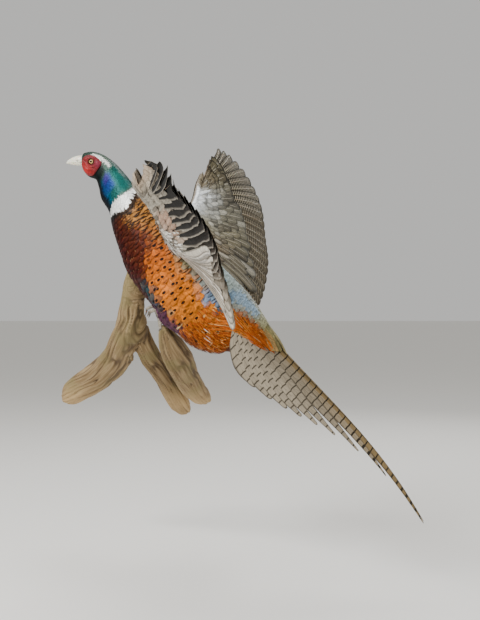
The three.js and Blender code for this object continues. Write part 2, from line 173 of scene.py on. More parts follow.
# ---------------------------------------------------------------- wing shape: [forward, up, out]
SIDES = {"left": 1, "right": -1}
WINGS = {
    "left": {
        "swept": 0.28,
        "leading": [(157, 131, 222), (151, 111, 195), (142, 98, 160), (117, 90, 118), (100, 77, 80), (84, 58, 38)],
        "roots": [(137, 121, 209), (129, 114, 191), (121, 108, 173), (113, 102, 155), (80, 90, 132), (50, 78, 105),
                  (44, 60, 44)],
        "tips": [(137, 168, 300), (108, 193, 345), (74, 189, 375), (50, 187, 358), (22, 179, 325), (-8, 163, 285),
                 (-28, 145, 250), (-85, 100, 180), (-117, 63, 108)],
    },
    "right": {
        "swept": 0.0,
        "leading": [(151, 131, 216), (140, 113, 200), (118, 97, 160), (104, 84, 118), (98, 70, 80), (92, 52, 40)],
        "roots": [(137, 119, 212), (128, 110, 194), (119, 102, 177), (110, 94, 160), (78, 84, 134), (50, 75, 105),
                  (44, 60, 44)],
        "tips": [(181, 168, 310), (158, 174, 345), (113, 173, 370), (64, 163, 372), (26, 151, 352), (-20, 128, 310),
                 (-61, 109, 265), (-98, 82, 190), (-118, 62, 108)],
    },
}
PRIMARIES = 10
SECONDARIES = 12
PRIMARY_SHARE = 0.54                   # share of the wing's tip line that the primaries take
OUTER = (np.arange(PRIMARIES) + 0.5) / PRIMARIES * PRIMARY_SHARE
INNER = PRIMARY_SHARE + (np.arange(SECONDARIES) + 0.5) / SECONDARIES * (1 - PRIMARY_SHARE)
COVERED = 0.4                          # share of a flight feather's length under the coverts
BONE_LINE = 0.4                        # where the bones lie, from the leading edge back to the coverts' end
CAMBER = 13.0
ARM_THICK = 15.0
ARM_SKIN = 2.6


class Wing:
    """A spread wing: u runs from the first primary inwards, v from a quill's root to its tip."""

    def __init__(self, name):
        keys = WINGS[name]
        self.side, self.swept = SIDES[name], keys["swept"]
        self.lines = {part: [bird(f, u, self.side * out) for f, u, out in keys[part]]
                      for part in ("leading", "roots", "tips")}

    def line(self, part, u):
        return spline(self.lines[part], u)

    def facing(self, u):
        near = np.clip(u, 0, 1)
        across = self.line("roots", np.minimum(near + 0.05, 1)) - self.line("roots", np.maximum(near - 0.05, 0))
        face = unit(np.cross(across, self.line("tips", near) - self.line("roots", near)))
        return face * np.sign((face * UP).sum(-1, keepdims=True))

    def sheet(self, u, v, lift=0.0):
        """On the flight feathers' middle surface, or lift above it on the back's side."""
        u, v, lift = arrays(u, v, lift)
        at = mix(self.line("roots", u), self.line("tips", u), v[..., None])
        return at + self.facing(u) * (CAMBER * np.sin(np.pi * np.clip(v, -0.2, 1.2)) + lift)[..., None]

    def quill(self, u, v):
        """Where along the wing a flight feather lies, v of the way out to its tip at u."""
        root = u + self.swept * smooth(0.02, 0.3, u) * (1 - smooth(0.55, 1.0, u))
        return mix(root, u, v)

    def arm(self, u, along, lift, face=1):
        """On the fleshed arm: along is 0 at the leading edge and 1 where the coverts end."""
        u, along, lift = arrays(u, along, lift)
        v = np.maximum(0, along - BONE_LINE) / (1 - BONE_LINE) * COVERED
        at = self.sheet(u, v)
        ahead = np.clip(1 - along / BONE_LINE, 0, 1.3)[..., None]
        at = mix(at, self.line("leading", u), ahead)
        full = np.maximum(0, np.sin(np.pi * np.minimum(1, np.maximum(along, 0) * 1.25 + 0.12))) ** 1.2
        thick = ARM_SKIN + ARM_THICK * full * mix(0.45, 1, np.clip(u, 0, 1))
        return at + self.facing(u) * (face * (thick / 2 + lift))[..., None]


# ---------------------------------------------------------------- tail shape
TAIL_ROOT = (-110, 74)
TAIL_LENGTHS = [459, 355, 292, 245, 212, 184, 158, 130, 98]
TAIL_SPREAD = [5, 18, 32, 47, 60, 72, 82, 91, 98]
TAIL_PITCH = 5.6
TAIL_SLOPE = math.radians(34)
TAIL_ARCH = 14.0
TAIL_ARCH_PLACE = 1.6
TAIL_DROOP = 2.0
RIDGE = 3.0                            # how softly the ridge between the two halves is rounded


def tail_point(out, along, lift):
    """On the tail: out is positive on the left of its ridge, along runs from the quills to the tip."""
    out, along, lift = arrays(out, along, lift)
    t = along / TAIL_LENGTHS[0]
    reach = np.sqrt(out ** 2 + RIDGE ** 2) - RIDGE
    lean = TAIL_SLOPE * out / np.sqrt(out ** 2 + RIDGE ** 2)
    rise = TAIL_ARCH * np.sin(np.pi * np.clip(t, 0, 1) ** TAIL_ARCH_PLACE) - TAIL_DROOP * t
    at = bird(TAIL_ROOT[0] - along, TAIL_ROOT[1] + rise - reach * math.sin(TAIL_SLOPE),
              out * math.cos(TAIL_SLOPE))
    facing = UP * np.cos(lean)[..., None] + LEFT * np.sin(lean)[..., None]
    return at + facing * lift[..., None]


# ---------------------------------------------------------------- colours
def linear(hex_colour):
    """An sRGB hex colour as linear light."""
    parts = np.array([int(hex_colour[i:i + 2], 16) for i in (1, 3, 5)]) / 255
    return np.where(parts <= 0.04045, parts / 12.92, ((parts + 0.055) / 1.055) ** 2.4)


def blend_keys(keys, place):
    """Colours read from rising (place, hex) keys."""
    at = [key[0] for key in keys]
    shades = np.array([linear(key[1]) for key in keys])
    return np.stack([np.interp(place, at, shades[:, k]) for k in range(3)], axis=-1)


def over(under, shade, share):
    """One colour laid over others, by a share from 0 to 1."""
    share = np.clip(np.asarray(share, float), 0, 1)[..., None]
    shade = linear(shade) if isinstance(shade, str) else shade
    return under * (1 - share) + shade * share


def layered(ground, *coats):
    """Colours laid one over another, from (colour, share) pairs."""
    for shade, share in coats:
        ground = over(ground, shade, share)
    return ground


def band(value, low, high, soft):
    return smooth(low - soft, low + soft, value) * (1 - smooth(high - soft, high + soft, value))


def ripple(*terms):
    """Smooth repeatable unevenness from -1 to 1, from (value, frequency, phase) terms."""
    return sum(np.sin(value * frequency + phase) for value, frequency, phase in terms) / len(terms)


RING_AT = np.radians([0, 45, 70, 90, 110, 135, 180])
RING_FRONT = [5.95, 5.93, 5.84, 5.75, 5.66, 5.85, 6.1]
RING_BACK = [6.12, 6.3, 6.55, 6.5, 6.3, 6.15, 6.12]
BACK = [(0, "#2c3a30"), (1.5, "#3d5248"), (3.2, "#46584a"), (4.2, "#17493f"), (5.6, "#0c5854"), (6.4, "#85592a"),
        (7.0, "#a06a2a"), (8.6, "#8f5822"), (9.6, "#8d8a6a"), (10.6, "#8a9a98"), (12.0, "#8b8f86"), (13.2, "#87866c"),
        (14.4, "#857f56"), (15, "#8f8460")]
FLANK = [(0, "#101614"), (3.0, "#0c2c30"), (3.8, "#0a4046"), (4.5, "#0a4078"), (5.6, "#0a4f63"), (6.6, "#5a2c18"),
         (7.2, "#884a1a"), (8.2, "#984a14"), (8.9, "#b35a17"), (10, "#c56c19"), (11.3, "#c5701a"), (12.1, "#ab5814"),
         (13, "#a24f10"), (15, "#8a5a26")]
BELLY = [(0, "#0c0f0e"), (4.0, "#0a1820"), (5.6, "#0b2230"), (6.5, "#2c1410"), (7.6, "#4c1710"), (9, "#4a160f"),
         (10, "#2c1512"), (11, "#2a1a16"), (12, "#5a2f12"), (13.0, "#7c4316"), (15, "#3a2010")]
# patches: colour, stations from, to and softness, degrees from the back from, to and softness, strength
NECK_PATCHES = [("#0d3684", 4.05, 5.0, 0.25, 66, 106, 12, 0.9),          # blue cheek
                ("#3c2f82", 3.85, 4.45, 0.15, 74, 100, 8, 0.8),          # violet behind the face
                ("#0b6a63", 4.2, 6.2, 0.4, 18, 62, 14, 0.7)]             # green nape
RUMP_PATCHES = [("#0f3f46", 9.2, 10.3, 0.3, 118, 138, 8, 0.8),           # teal and purple edges along the belly
                ("#5c2f4c", 10.0, 11.4, 0.3, 126, 150, 8, 0.7),
                ("#ae5511", 12.1, 13.6, 0.3, 56, 140, 12, 0.8),          # rufous sides of the rump
                ("#64809a", 10.75, 11.7, 0.12, 34, 77, 4, 0.88),         # slate blue behind the wing
                ("#8097aa", 11.5, 13.1, 0.25, 12, 42, 7, 0.9),
                ("#24362c", 11.45, 11.8, 0.14, 54, 80, 8, 0.8)]          # bottle green beside it
MANTLE_AT = [6.4, 7.2, 8.0, 8.8, 10.0]             # stations at which the mantle's lower edge is given


def patched(ground, patches, s, deg, share=1.0):
    for shade, s_from, s_to, s_soft, deg_from, deg_to, deg_soft, strength in patches:
        part = share * band(s, s_from, s_to, s_soft) * band(deg, deg_from, deg_to, deg_soft)
        ground = over(ground, shade, part * strength)
    return ground


def body_marks(s, theta):
    """Ground colour, tip colour and how strong the tip spot is, at a place on the body."""
    side = np.abs((theta + np.pi) % (2 * np.pi) - np.pi)
    deg = np.degrees(side)
    wander = ripple((s, 5.1, 0.3), (deg, 0.11, 1.0), (s * deg, 0.05, 2.0))
    mantle = np.interp(s, MANTLE_AT, [104, 90, 70, 62, 66])
    ground = layered(blend_keys(FLANK, s), (blend_keys(BELLY, s), smooth(110, 134, deg + 8 * wander)),
                     (blend_keys(BACK, s), 1 - smooth(mantle - 13, mantle + 13, deg + 6 * wander)))
    # head and neck: near black throat and face, grey crown, and a pale brow stripe on each side of it
    neck = 1 - smooth(5.7, 6.0, s)
    ground = patched(ground, NECK_PATCHES, s, deg, neck)
    ground = layered(ground, ("#080d12", neck * smooth(112, 136, deg) * 0.8),
                     ("#0a1413", band(s, -1, 3.7, 0.25) * smooth(58, 74, deg) * 0.9),
                     ("#7d8480", band(s, 3.6, 5.2, 0.35) * band(deg, 4, 22, 8) * 0.6),
                     ("#eceee6", band(s, 1.7, 3.95, 0.15) * band(deg, 30 + 3 * smooth(3.0, 3.9, s), 50, 4)))
    # copper breast glossed with wine, painted darker than its own maroon: part of its darkness is painted shade
    ends = np.interp(deg, [60, 80, 100, 120, 140], [8.0, 8.3, 8.75, 9.3, 9.9])
    breast = band(s, 6.7, ends, 0.3) * smooth(mantle - 2, mantle + 16, deg + 5 * wander)
    ground = patched(over(ground, "#390d08", breast * 0.9), RUMP_PATCHES, s, deg)
    tip = layered(ground * 0.45, ("#140a07", smooth(6.3, 7.0, s) * (1 - smooth(12.4, 13.2, s))),
                  (ground * 1.5, band(s, 9.6, 15.5, 0.5) * (1 - smooth(46, 64, deg))), (ground * 0.5, breast))
    spot = smooth(6.5, 7.0, s) * (1 - smooth(11.9, 12.5, s)) * (1 - smooth(128, 150, deg))
    spot = spot * (1 - band(s, 10.5, 11.9, 0.2) * (1 - smooth(78, 88, deg))) * (1 - 0.75 * breast)
    spot = spot * (1 - band(s, 9.4, 15, 0.4) * (1 - smooth(62, 76, deg)))
    # broad white collar with a ragged dark edge behind it
    front = np.interp(side, RING_AT, RING_FRONT)
    rear = np.interp(side, RING_AT, RING_BACK)
    ragged = 0.05 * ripple((deg, 0.9, 0.2), (deg, 2.3, 1.4)) + 0.04 * wander
    collar = smooth(front - 0.05, front + 0.03, s) * (1 - smooth(rear - 0.05, rear + 0.04, s + ragged))
    dark = smooth(rear - 0.08, rear + 0.02, s + ragged) * (1 - smooth(rear + 0.16, rear + 0.4, s))
    ground = layered(ground, ("#14100e", dark * 0.9), ("#f3f4f0", collar))
    tip = layered(tip, ("#14100e", dark * 0.9), ("#f6f6f2", collar))
    return ground, tip, spot * (1 - collar) * (1 - dark)


# ---------------------------------------------------------------- feathers
def vane(length, left, right, rows, cols, angle=45.0, rounding=0.8, base=0.35, taper=0.0, fan=0.35,
         fray=0.0, rng=None):
    """Feathers as barbs that leave a midrib: places across and along in mm, the share of each barb,
    and how far from the quill it starts."""
    length, left, right = each(length), each(left), each(right)
    tip_rows = max(3, rows // 2) if fan > 0.2 else rows // 8
    t = np.concatenate([np.linspace(0, 1 - fan, rows - tip_rows, endpoint=False), np.linspace(1 - fan, 1, tip_rows)])
    t = t[None, :, None]
    u = np.linspace(-1, 1, 2 * cols + 1)[None, None, :]
    straight = np.minimum(t / (1 - fan), 1)
    turn = np.clip((t - (1 - fan)) / fan, 0, 1)
    full = np.where(u < 0, right, left)
    taper = np.broadcast_to(np.asarray(taper, float), (len(length),))[:, None, None]
    cot = 1 / math.tan(math.radians(angle))
    tip_web = np.maximum(left, right) * (1 - taper)
    fan_from = np.maximum(length - (cot + rounding) * tip_web, 0.3 * length)
    start = fan_from * straight + (length - fan_from) * 0.6 * turn
    web = full * (base + (1 - base) * smooth(0, 0.45, straight)) * (1 - taper * straight ** 1.5)
    end_x = web * np.cos(turn * math.pi / 2) ** 0.8
    end_y = np.where(turn > 0, fan_from + cot * web + (length - fan_from - cot * web) * np.sin(turn * math.pi / 2),
                     start + cot * web)
    share = np.abs(u)
    if fray:
        shape = (len(length), rows, 2)
        torn = 1 - fray * np.maximum(0, rng.normal(0, 0.5, shape)) ** 1.3
        torn = np.where(u < 0, torn[:, :, :1], torn[:, :, 1:])
        share = share * (1 - (1 - torn) * share ** 2)
    x = share * end_x * np.sign(u)
    y = start + share * (end_y - start)
    return x, y, np.broadcast_to(u, x.shape), np.broadcast_to(start, x.shape)


def spread(value, shape):
    """Per-feather or per-place colours as per-place ones."""
    value = np.asarray(value, float)
    if value.ndim == 1:
        value = value[None, :]
    if value.ndim == 2:
        value = value[:, None, None, :]
    return np.broadcast_to(value, (*shape, 3))


def plumage(name, nodes, material, groups):
    """One piece from groups of feathers. Each feather is a thin closed lens: a top skin and an under skin."""
    verts, faces, base, tip, barb, blade, bake = [], [], [], [], [], [], []
    count = 0
    for group in groups:
        at = group["at"]
        shape = at.shape[:3]
        total, rows, cols = shape
        along = np.gradient(at, axis=1)
        across = np.gradient(at, axis=2)
        normal = unit(np.cross(across, along))
        turned = np.sign((normal[:, rows // 3, cols // 2] * group["out"]).sum(-1))
        turned[turned == 0] = 1
        normal = normal * turned[:, None, None, None]
        share = np.abs(group["u"])
        inside = 1 - share ** 2
        inside[:, 0] = 0
        inside[:, -1] = 0
        under = at - normal * (group["thick"] * inside)[..., None]
        reach = each(group["length"])
        wide = np.maximum(np.abs(group["x"]).max(axis=(1, 2), keepdims=True), 1e-6)
        seed = np.broadcast_to(each(group["seed"]), shape)
        marks = {side: np.broadcast_to(np.asarray(group[key] if key in group else group["mark"], float)
                                       .reshape(-1, 1, 1), shape) for side, key in ((1, "mark"), (-1, "under_mark"))}
        places = np.stack([group["x"] / wide * 0.5, group["y"] / reach - 0.5], axis=-1)
        corner = np.arange(rows * cols).reshape(rows, cols)
        quads = np.stack([corner[:-1, :-1], corner[:-1, 1:], corner[1:, 1:], corner[1:, :-1]], -1).reshape(-1, 4)
        for side, skin in ((1, at), (-1, under)):
            wound = turned * side
            start = count + np.arange(total)[:, None, None] * rows * cols
            forward, backward = start + quads[None], start + quads[None, :, ::-1]
            faces.append(np.where((wound > 0)[:, None, None], forward, backward).reshape(-1, 4))
            verts.append(skin.reshape(-1, 3))
            for store, upper, lower in ((base, "base", "under"), (tip, "tip", "under_tip")):
                label = lower if side < 0 and lower in group else upper
                store.append(spread(group[label], shape).reshape(-1, 3))
            barb.append(np.stack([group["u"], group["d"], seed], -1).reshape(-1, 3))
            blade.append(np.stack([group["x"], reach - group["y"], marks[side]], -1).reshape(-1, 3))
            beside = np.zeros(2) if side > 0 else np.array(group.get("apart", (0, 1.15)))
            patch = group["bake"][:, None, None, :] + (places + beside) * group["patch"]
            bake.append(patch.reshape(-1, 2))
            count += total * rows * cols
    verts, faces = np.concatenate(verts) * MM, np.concatenate(faces)
    mesh = mesh_from(name, verts, faces)
    for label, kind, values in (("Base", "FLOAT_COLOR", base), ("Tip", "FLOAT_COLOR", tip),
                                ("Barb", "FLOAT_VECTOR", barb), ("Blade", "FLOAT_VECTOR", blade)):
        paint(mesh, label, kind, np.concatenate(values))
    corners = np.clip(np.concatenate(bake)[faces.ravel()], 0, 1)
    mesh.uv_layers.new(name="OFBake").data.foreach_set("uv", corners.astype(np.float32).ravel())
    return settle(name, mesh, material, nodes)


def mesh_from(name, verts, faces):
    """A smooth mesh from joined arrays of places and quads."""
    mesh = bpy.data.meshes.new(name)
    mesh.vertices.add(len(verts))
    mesh.vertices.foreach_set("co", np.asarray(verts, np.float32).ravel())
    mesh.loops.add(faces.size)
    mesh.loops.foreach_set("vertex_index", faces.astype(np.int32).ravel())
    mesh.polygons.add(len(faces))
    mesh.polygons.foreach_set("loop_start", np.arange(0, faces.size, faces.shape[1], dtype=np.int32))
    mesh.polygons.foreach_set("use_smooth", np.ones(len(faces), bool))
    mesh.update(calc_edges=True)
    return mesh


def paint(mesh, label, kind, values):
    """Stores a number, a vector or a colour for every place of a mesh."""
    field = {"FLOAT": "value", "FLOAT_VECTOR": "vector", "FLOAT_COLOR": "color"}[kind]
    if kind == "FLOAT_COLOR":
        values = np.concatenate([np.clip(values, 0, 1), np.ones((len(values), 1))], axis=1)
    layer = mesh.attributes.new(label, kind, "POINT")
    layer.data.foreach_set(field, np.asarray(values, np.float32).ravel())


def new_object(name, data):
    made = bpy.data.objects.new(name, data)
    bpy.context.scene.collection.objects.link(made)
    return made


def settle(name, mesh, material, nodes=()):
    """Puts a finished mesh in the scene, riding on the body and standing for its nodes."""
    piece = new_object(name, mesh)
    mesh.materials.clear()
    mesh.materials.append(material)
    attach(piece, RIDES_ON)
    if nodes:
        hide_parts(*nodes)
    return piece


LOOP = np.linspace(-math.pi, math.pi, 49)          # angles at which a ring around the body is measured


def quincunx(s_from, s_to, around, ratio, rng, stagger=0.5):
    """Staggered roots over the body: stations, angles, mm between neighbours and row numbers."""
    s, row, roots = s_from, 0, []
    while s < s_to:
        loop = body_point(np.full(len(LOOP), s), LOOP, 0.0)
        spacing = gap(loop[1:], loop[:-1]).sum() / around
        step = gap(body_point(s + 0.01, math.pi / 2, 0.0), body_point(s, math.pi / 2, 0.0)) / 0.01
        angles = (np.arange(around) + stagger * row % 1) / around * 2 * math.pi - math.pi
        jitter = rng.normal(0, 0.06, (2, len(angles)))
        advance = spacing * ratio / step
        roots.append(np.stack([s + jitter[0] * advance, angles + jitter[1] * 2 * math.pi / around,
                               np.full(len(angles), spacing), np.full(len(angles), row)], axis=1))
        s += advance
        row += 1
    return np.concatenate(roots).T


BULGE_S = np.linspace(6, LAST, 91)
BULGE_THETA = np.linspace(-math.pi, math.pi, 73)
BULGE_MOST = 14.0


def windows(table, reach):
    """The table shifted every way by up to reach places, its edges repeated."""
    wide, steps = np.pad(table, reach, mode="edge"), range(2 * reach + 1)
    return [wide[a:a + table.shape[0], b:b + table.shape[1]] for a in steps for b in steps]


def find_bulges():
    """How far the thighs and the tucked shanks stand out of the body's outline, by station and angle."""
    work = bmesh.new()
    for name in ("trunk", "rump", "thigh_left", "thigh_right", "shank_left", "shank_right"):
        work.from_mesh(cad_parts[name].data)
    tree = BVHTree.FromBMesh(work)
    work.free()
    s, theta = np.meshgrid(BULGE_S, BULGE_THETA, indexing="ij")
    start, end = body_point(s, theta, 30.0), body_point(s, theta, 0.0)
    table = np.zeros(s.shape)
    for place in np.ndindex(s.shape):
        way = Vector(end[place] - start[place])
        hit = tree.ray_cast(Vector(start[place]) * MM, way.normalized(), way.length * MM)
        if hit[3] is not None:
            table[place] = min(BULGE_MOST, way.length - hit[3] / MM)
    table = np.max(windows(table, 2), axis=0)
    for _ in range(3):
        table = np.mean(windows(table, 1), axis=0)
    return table


BULGES = find_bulges()


def bulge(s, theta):
    """How far the limbs lift the body's outline at places on it, in mm."""
    across = np.clip((np.asarray(s, float) - BULGE_S[0]) / (BULGE_S[1] - BULGE_S[0]), 0, len(BULGE_S) - 1.001)
    round_it = (np.asarray(theta, float) + math.pi) % (2 * math.pi) / (BULGE_THETA[1] - BULGE_THETA[0])
    i, j = across.astype(int), np.minimum(round_it.astype(int), len(BULGE_THETA) - 2)
    a, b = across - i, round_it - j
    return ((BULGES[i, j] * (1 - b) + BULGES[i, j + 1] * b) * (1 - a)
            + (BULGES[i + 1, j] * (1 - b) + BULGES[i + 1, j + 1] * b) * a)


def body_metric(s, theta, lift):
    """Millimetres for each station and each radian at places on the body."""
    step = 0.02
    per_station = gap(body_point(s + step, theta, lift), body_point(s - step, theta, lift)) / (2 * step)
    per_radian = gap(body_point(s, theta + step, lift), body_point(s, theta - step, lift)) / (2 * step)
    return np.maximum(per_station, 6), np.maximum(per_radian, 3)


def lay_on_body(s, theta, length, width, skin, rng, rows, cols, proud=0.4, stray=0.05, crown=0.10, **shape):
    """Small feathers that follow the body's surface back from their roots."""
    vanes = x, y, _, _ = vane(length, width / 2, width / 2, rows, cols, rng=rng, **shape)
    turn = each(rng.normal(0, stray, len(s)))
    per_station, per_radian = body_metric(s, theta, -skin / 2)
    back = y * np.cos(turn) - x * np.sin(turn)
    around = x * np.cos(turn) + y * np.sin(turn)
    reach = y / each(length)
    uneven = each(rng.normal(0, 0.12, len(s)))
    lift = (-skin * (1 - reach ** 0.7) + (proud + uneven) * reach ** 2
            - crown * each(width) * (x / (each(width) / 2)) ** 2)
    stations = each(s) + back / each(per_station)
    bearings = each(theta) + around / each(per_radian)
    at = body_point(stations, bearings, lift + bulge(stations, bearings))
    out = unit(body_point(s, theta, 5.0) - body_point(s, theta, 0.0))
    return laid(vanes, at, length, out, rng.random(len(s)), 0.18)


def stand(root, end, facing, length, left, right, rng, rows, cols, bow=0.0, crown=0.1, **shape):
    """Long feathers from their roots to their ends, bowed out by a share of their length."""
    vanes = x, y, _, _ = vane(length, left, right, rows, cols, rng=rng, **shape)
    reach = (y / each(length))[..., None]
    root, end, facing = root[:, None, None], end[:, None, None], unit(facing)[:, None, None]
    bow = np.broadcast_to(np.asarray(bow, float), length.shape)[:, None, None, None] * length[:, None, None, None]
    middle = (root + end) / 2 + facing * bow * 2
    at = root * (1 - reach) ** 2 + middle * 2 * reach * (1 - reach) + end * reach ** 2
    tangent = unit((middle - root) * (1 - reach) + (end - middle) * reach)
    beside = unit(np.cross(tangent, facing))
    normal = np.cross(beside, tangent)
    half = each(np.maximum(np.maximum(left, right), 1e-3))
    drop = crown * half * (x / half) ** 2
    at = at + beside * x[..., None] - normal * drop[..., None]
    out = np.broadcast_to(facing[:, 0, 0], (len(length), 3))
    return laid(vanes, at, length, out, rng.random(len(length)), 0.25)


def laid(vanes, at, length, out, seed, thick):
    """Feathers in their places: out is the way their upper sides face, thick is in mm."""
    return dict(zip("xyud", vanes), at=at, length=length, out=out, seed=seed, thick=thick)


def marked(group, base, tip, mark, bake, patch=(0.003, 0.003), **more):
    """Feathers with their colours and the place and size of their patches on the OFBake map."""
    return {**group, "base": base, "tip": tip, "mark": mark, "bake": bake, "patch": np.array(patch), **more}


STRIP_LONG = 0.44                                  # length of a long feather's own strip of the OFBake map
STRIP_APART = (0, 1.1)                             # its under side's strip, in lengths beyond the first


def strips(count, room, first=0.0):
    """Where the strips of long feathers lie side by side, room of them across the map."""
    return np.stack([(np.arange(count) + 0.5) / room + first, np.full(count, 0.24)], axis=-1)


def unwrap(a, b, a_from, a_to, b_from=-math.pi, b_to=math.pi):
    """Where roots lie on an unwrap of the skin's own shape."""
    return np.stack([0.02 + 0.95 * (a - a_from) / (a_to - a_from), 0.02 + 0.95 * (b - b_from) / (b_to - b_from)], -1)


# ---------------------------------------------------------------- materials
def wire(item, sockets):
    """Sets a node's sockets, or links them where the value is another node's output. Colours are sRGB hex
    or linear."""
    for key, value in sockets.items():
        if isinstance(value, bpy.types.NodeSocket):
            item.id_data.links.new(value, item.inputs[key])
        elif item.inputs[key].type == "RGBA":
            item.inputs[key].default_value = (*(linear(value) if isinstance(value, str) else value), 1.0)
        else:
            item.inputs[key].default_value = value


def new_material(name, **surface):
    """A Principled material with its constants set on its own sockets. Gives the one function that adds nodes
    to it, and the one that finishes it."""
    material = bpy.data.materials.new(name)
    material.use_nodes = True
    tree = material.node_tree
    shader = tree.nodes["Principled BSDF"]
    wire(shader, {socket.replace("_", " "): value for socket, value in surface.items()})

    def node(kind, *values, give=0, **named):
        """Adds a node and gives one of its outputs, or all when give is None. Values fill its sockets in
        order; capitalised names are sockets and small ones settings. A kind in capitals is an operation of
        a Math node, but for GRADE, an eased Map Range, and MIX, a colour Mix."""
        places = range(len(values))
        if kind == "MIX":
            kind, places, give, named = "Mix", (0, 6, 7), 2, {"data_type": "RGBA"}
        elif kind == "GRADE":
            kind, named = "MapRange", {"interpolation_type": "SMOOTHSTEP"}
        elif kind.isupper():
            kind, named = "Math", {"operation": kind}
        item = tree.nodes.new("ShaderNode" + kind)
        sockets = dict(zip(places, values))
        for label, value in named.items():
            if label.islower():
                setattr(item, label, value)
            else:
                sockets[label] = value
        wire(item, sockets)
        return item.outputs if give is None else item.outputs[give]

    def finish(colour, height=None, distance=0.0, strength=0.4, invert=False):
        """Gives the shader its colour and a height to bump by; returns the material."""
        wire(shader, {"Base Color": colour})
        if height is not None:
            raised = node("Bump", Height=height, Distance=distance, Strength=strength, invert=invert)
            wire(shader, {"Normal": raised})
        return material

    return node, finish


BARB_RELIEF = 0.12


def feather_material(name, barb_mm=1.3, barb_depth=0.16, streaks=0.5, spot=None, edge_mm=0.0, margin=None, bars=None,
                     shaft=None, painted_rim_shadow=0.15, block=0.97, **surface):
    """Feathers of keratin barbs: a soft broken sheen along each barb, a darker or paler midrib, and
    markings placed on each feather in real millimetres from its tip.

    spot: how far it lies from the tip, and its half width and half length. bars: their spacing, the share
    of it that is dark, how much they lean, how strong they are and how much wider they are near the tip.
    margin: where a pale margin starts, as a share of the barb. block: where bars fade out towards it."""
    node, finish = new_material(name, **surface)
    colour, tip = (node("Attribute", attribute_name=label, give="Color") for label in ("Base", "Tip"))
    (across, barb, seed), (beside, from_tip, mark) = (
        node("SeparateXYZ", node("Attribute", attribute_name=label, give="Vector"), give=None)
        for label in ("Barb", "Blade"))
    share = node("ABSOLUTE", across)
    if spot:
        place, wide, long = spot
        oval = node("ADD", node("POWER", node("DIVIDE", beside, wide), 2.0),
                    node("POWER", node("DIVIDE", node("SUBTRACT", from_tip, place), long), 2.0))
        colour = node("MIX", node("MULTIPLY", node("GRADE", oval, 1.35, 0.7), mark), colour, tip)
    if edge_mm:
        edge = node("MULTIPLY", node("GRADE", from_tip, edge_mm, edge_mm * 0.3), node("SUBTRACT", 1.0, mark))
        colour = node("MIX", edge, colour, tip)
    if margin:
        strength = node("MAXIMUM", node("MULTIPLY", mark, -1.0), 0.0) if bars else mark
        rim = node("MULTIPLY", node("GRADE", share, margin, margin + 0.18), strength)
        colour = node("MIX", rim, colour, tip)

    def grain(along, detail):
        vector = node("CombineXYZ", across, node("MULTIPLY", barb, along), node("MULTIPLY", seed, 40.0))
        return node("TexNoise", Vector=vector, Scale=1.0, Detail=detail, Roughness=0.6)

    fine, broad = grain(1.3, 3.0), grain(0.33, 2.0)
    if bars:
        spacing, wide, lean, dark, near_tip = bars
        along = node("ADD", node("MULTIPLY", node("ABSOLUTE", beside), lean),
                     node("ADD", from_tip, node("MULTIPLY", seed, spacing)))
        along = node("ADD", along, node("MULTIPLY", fine, 1.6))
        wave = node("PINGPONG", node("DIVIDE", along, spacing), 0.5)
        half = node("ADD", wide, node("MULTIPLY", node("GRADE", from_tip, 130.0, 0.0, 0.0, near_tip),
                                      node("GRADE", mark, 0.85, 0.95)))
        bar = node("GRADE", node("SUBTRACT", wave, half), 0.03, -0.03)
        bar = node("MULTIPLY", bar, node("MULTIPLY", node("GRADE", mark, 0.0, 1.0), node("GRADE", share, 0.98, block)))
        colour = node("MIX", node("MULTIPLY", bar, dark), colour, tip)
    # barbs, drawn coarser than real ones so that they show
    lines = node("PINGPONG", node("ADD", node("DIVIDE", barb, barb_mm), node("MULTIPLY", seed, 7.0)), 0.5)
    tone = node("ADD", node("MULTIPLY", lines, barb_depth * 2),
                node("ADD", node("MULTIPLY", fine, 0.35), node("MULTIPLY", node("GRADE", broad, 0.3, 0.7), streaks)))
    tone = node("ADD", node("ADD", tone, node("MULTIPLY", seed, 0.2)), 0.72 - barb_depth / 2 - streaks / 2)
    # painted shadow: each feather grows darker towards its edges, where the next feather overlaps it
    tone = node("MULTIPLY", tone, node("GRADE", share, 0.6, 0.96, 1.0, 1.0 - painted_rim_shadow))
    colour = node("VectorMath", colour, Scale=tone, operation="SCALE")
    if shaft:
        shade, width, strength = shaft
        colour = node("MIX", node("MULTIPLY", node("GRADE", share, width, width * 0.4), strength), colour, shade)
    return finish(colour, node("ADD", lines, broad), 0.0006, BARB_RELIEF)


# ---------------------------------------------------------------- body coat
SKIN_DEPTH = {"head": 1.3, "neck": 3.2, "trunk": 6.0, "vent": 5.0}    # mm from the outline in to the roots
WATTLE = {"at": (250.5, 30), "length": 30, "depth": 34}


def on_bird(at):
    """Forward, up and left of places in the frame, in millimetres."""
    rest = at - BODY_CENTRE
    return rest @ FORWARD, rest @ UP, rest @ LEFT


def in_wattle(at, grow):
    """Whether places lie within the bare face, seen from the side, grown by a share."""
    forward, up, _ = on_bird(at)
    f0, u0 = WATTLE["at"]
    return ((forward - f0) / (WATTLE["length"] / 2 * grow)) ** 2 + ((up - u0) / (WATTLE["depth"] / 2 * grow)) ** 2 < 1


def coat_head(rng):
    """Tiny close feathers of the head, around the bare face."""
    roots = quincunx(0.3, 4.35, around=88, ratio=0.85, rng=rng)
    s, theta, spacing, _ = roots[:, ~in_wattle(body_point(*roots[:2], 0.0), 0.97)]
    group = lay_on_body(s, theta, spacing * 4.6 + 0.8, spacing * 0.95, SKIN_DEPTH["head"], rng, rows=5, cols=1,
                        proud=0.1, crown=0.04, stray=0.16)
    base, tip, _ = body_marks(s, theta)
    return [marked(group, base, mix(base, tip, 0.15), 0.0, unwrap(s, theta, 0, 5))]


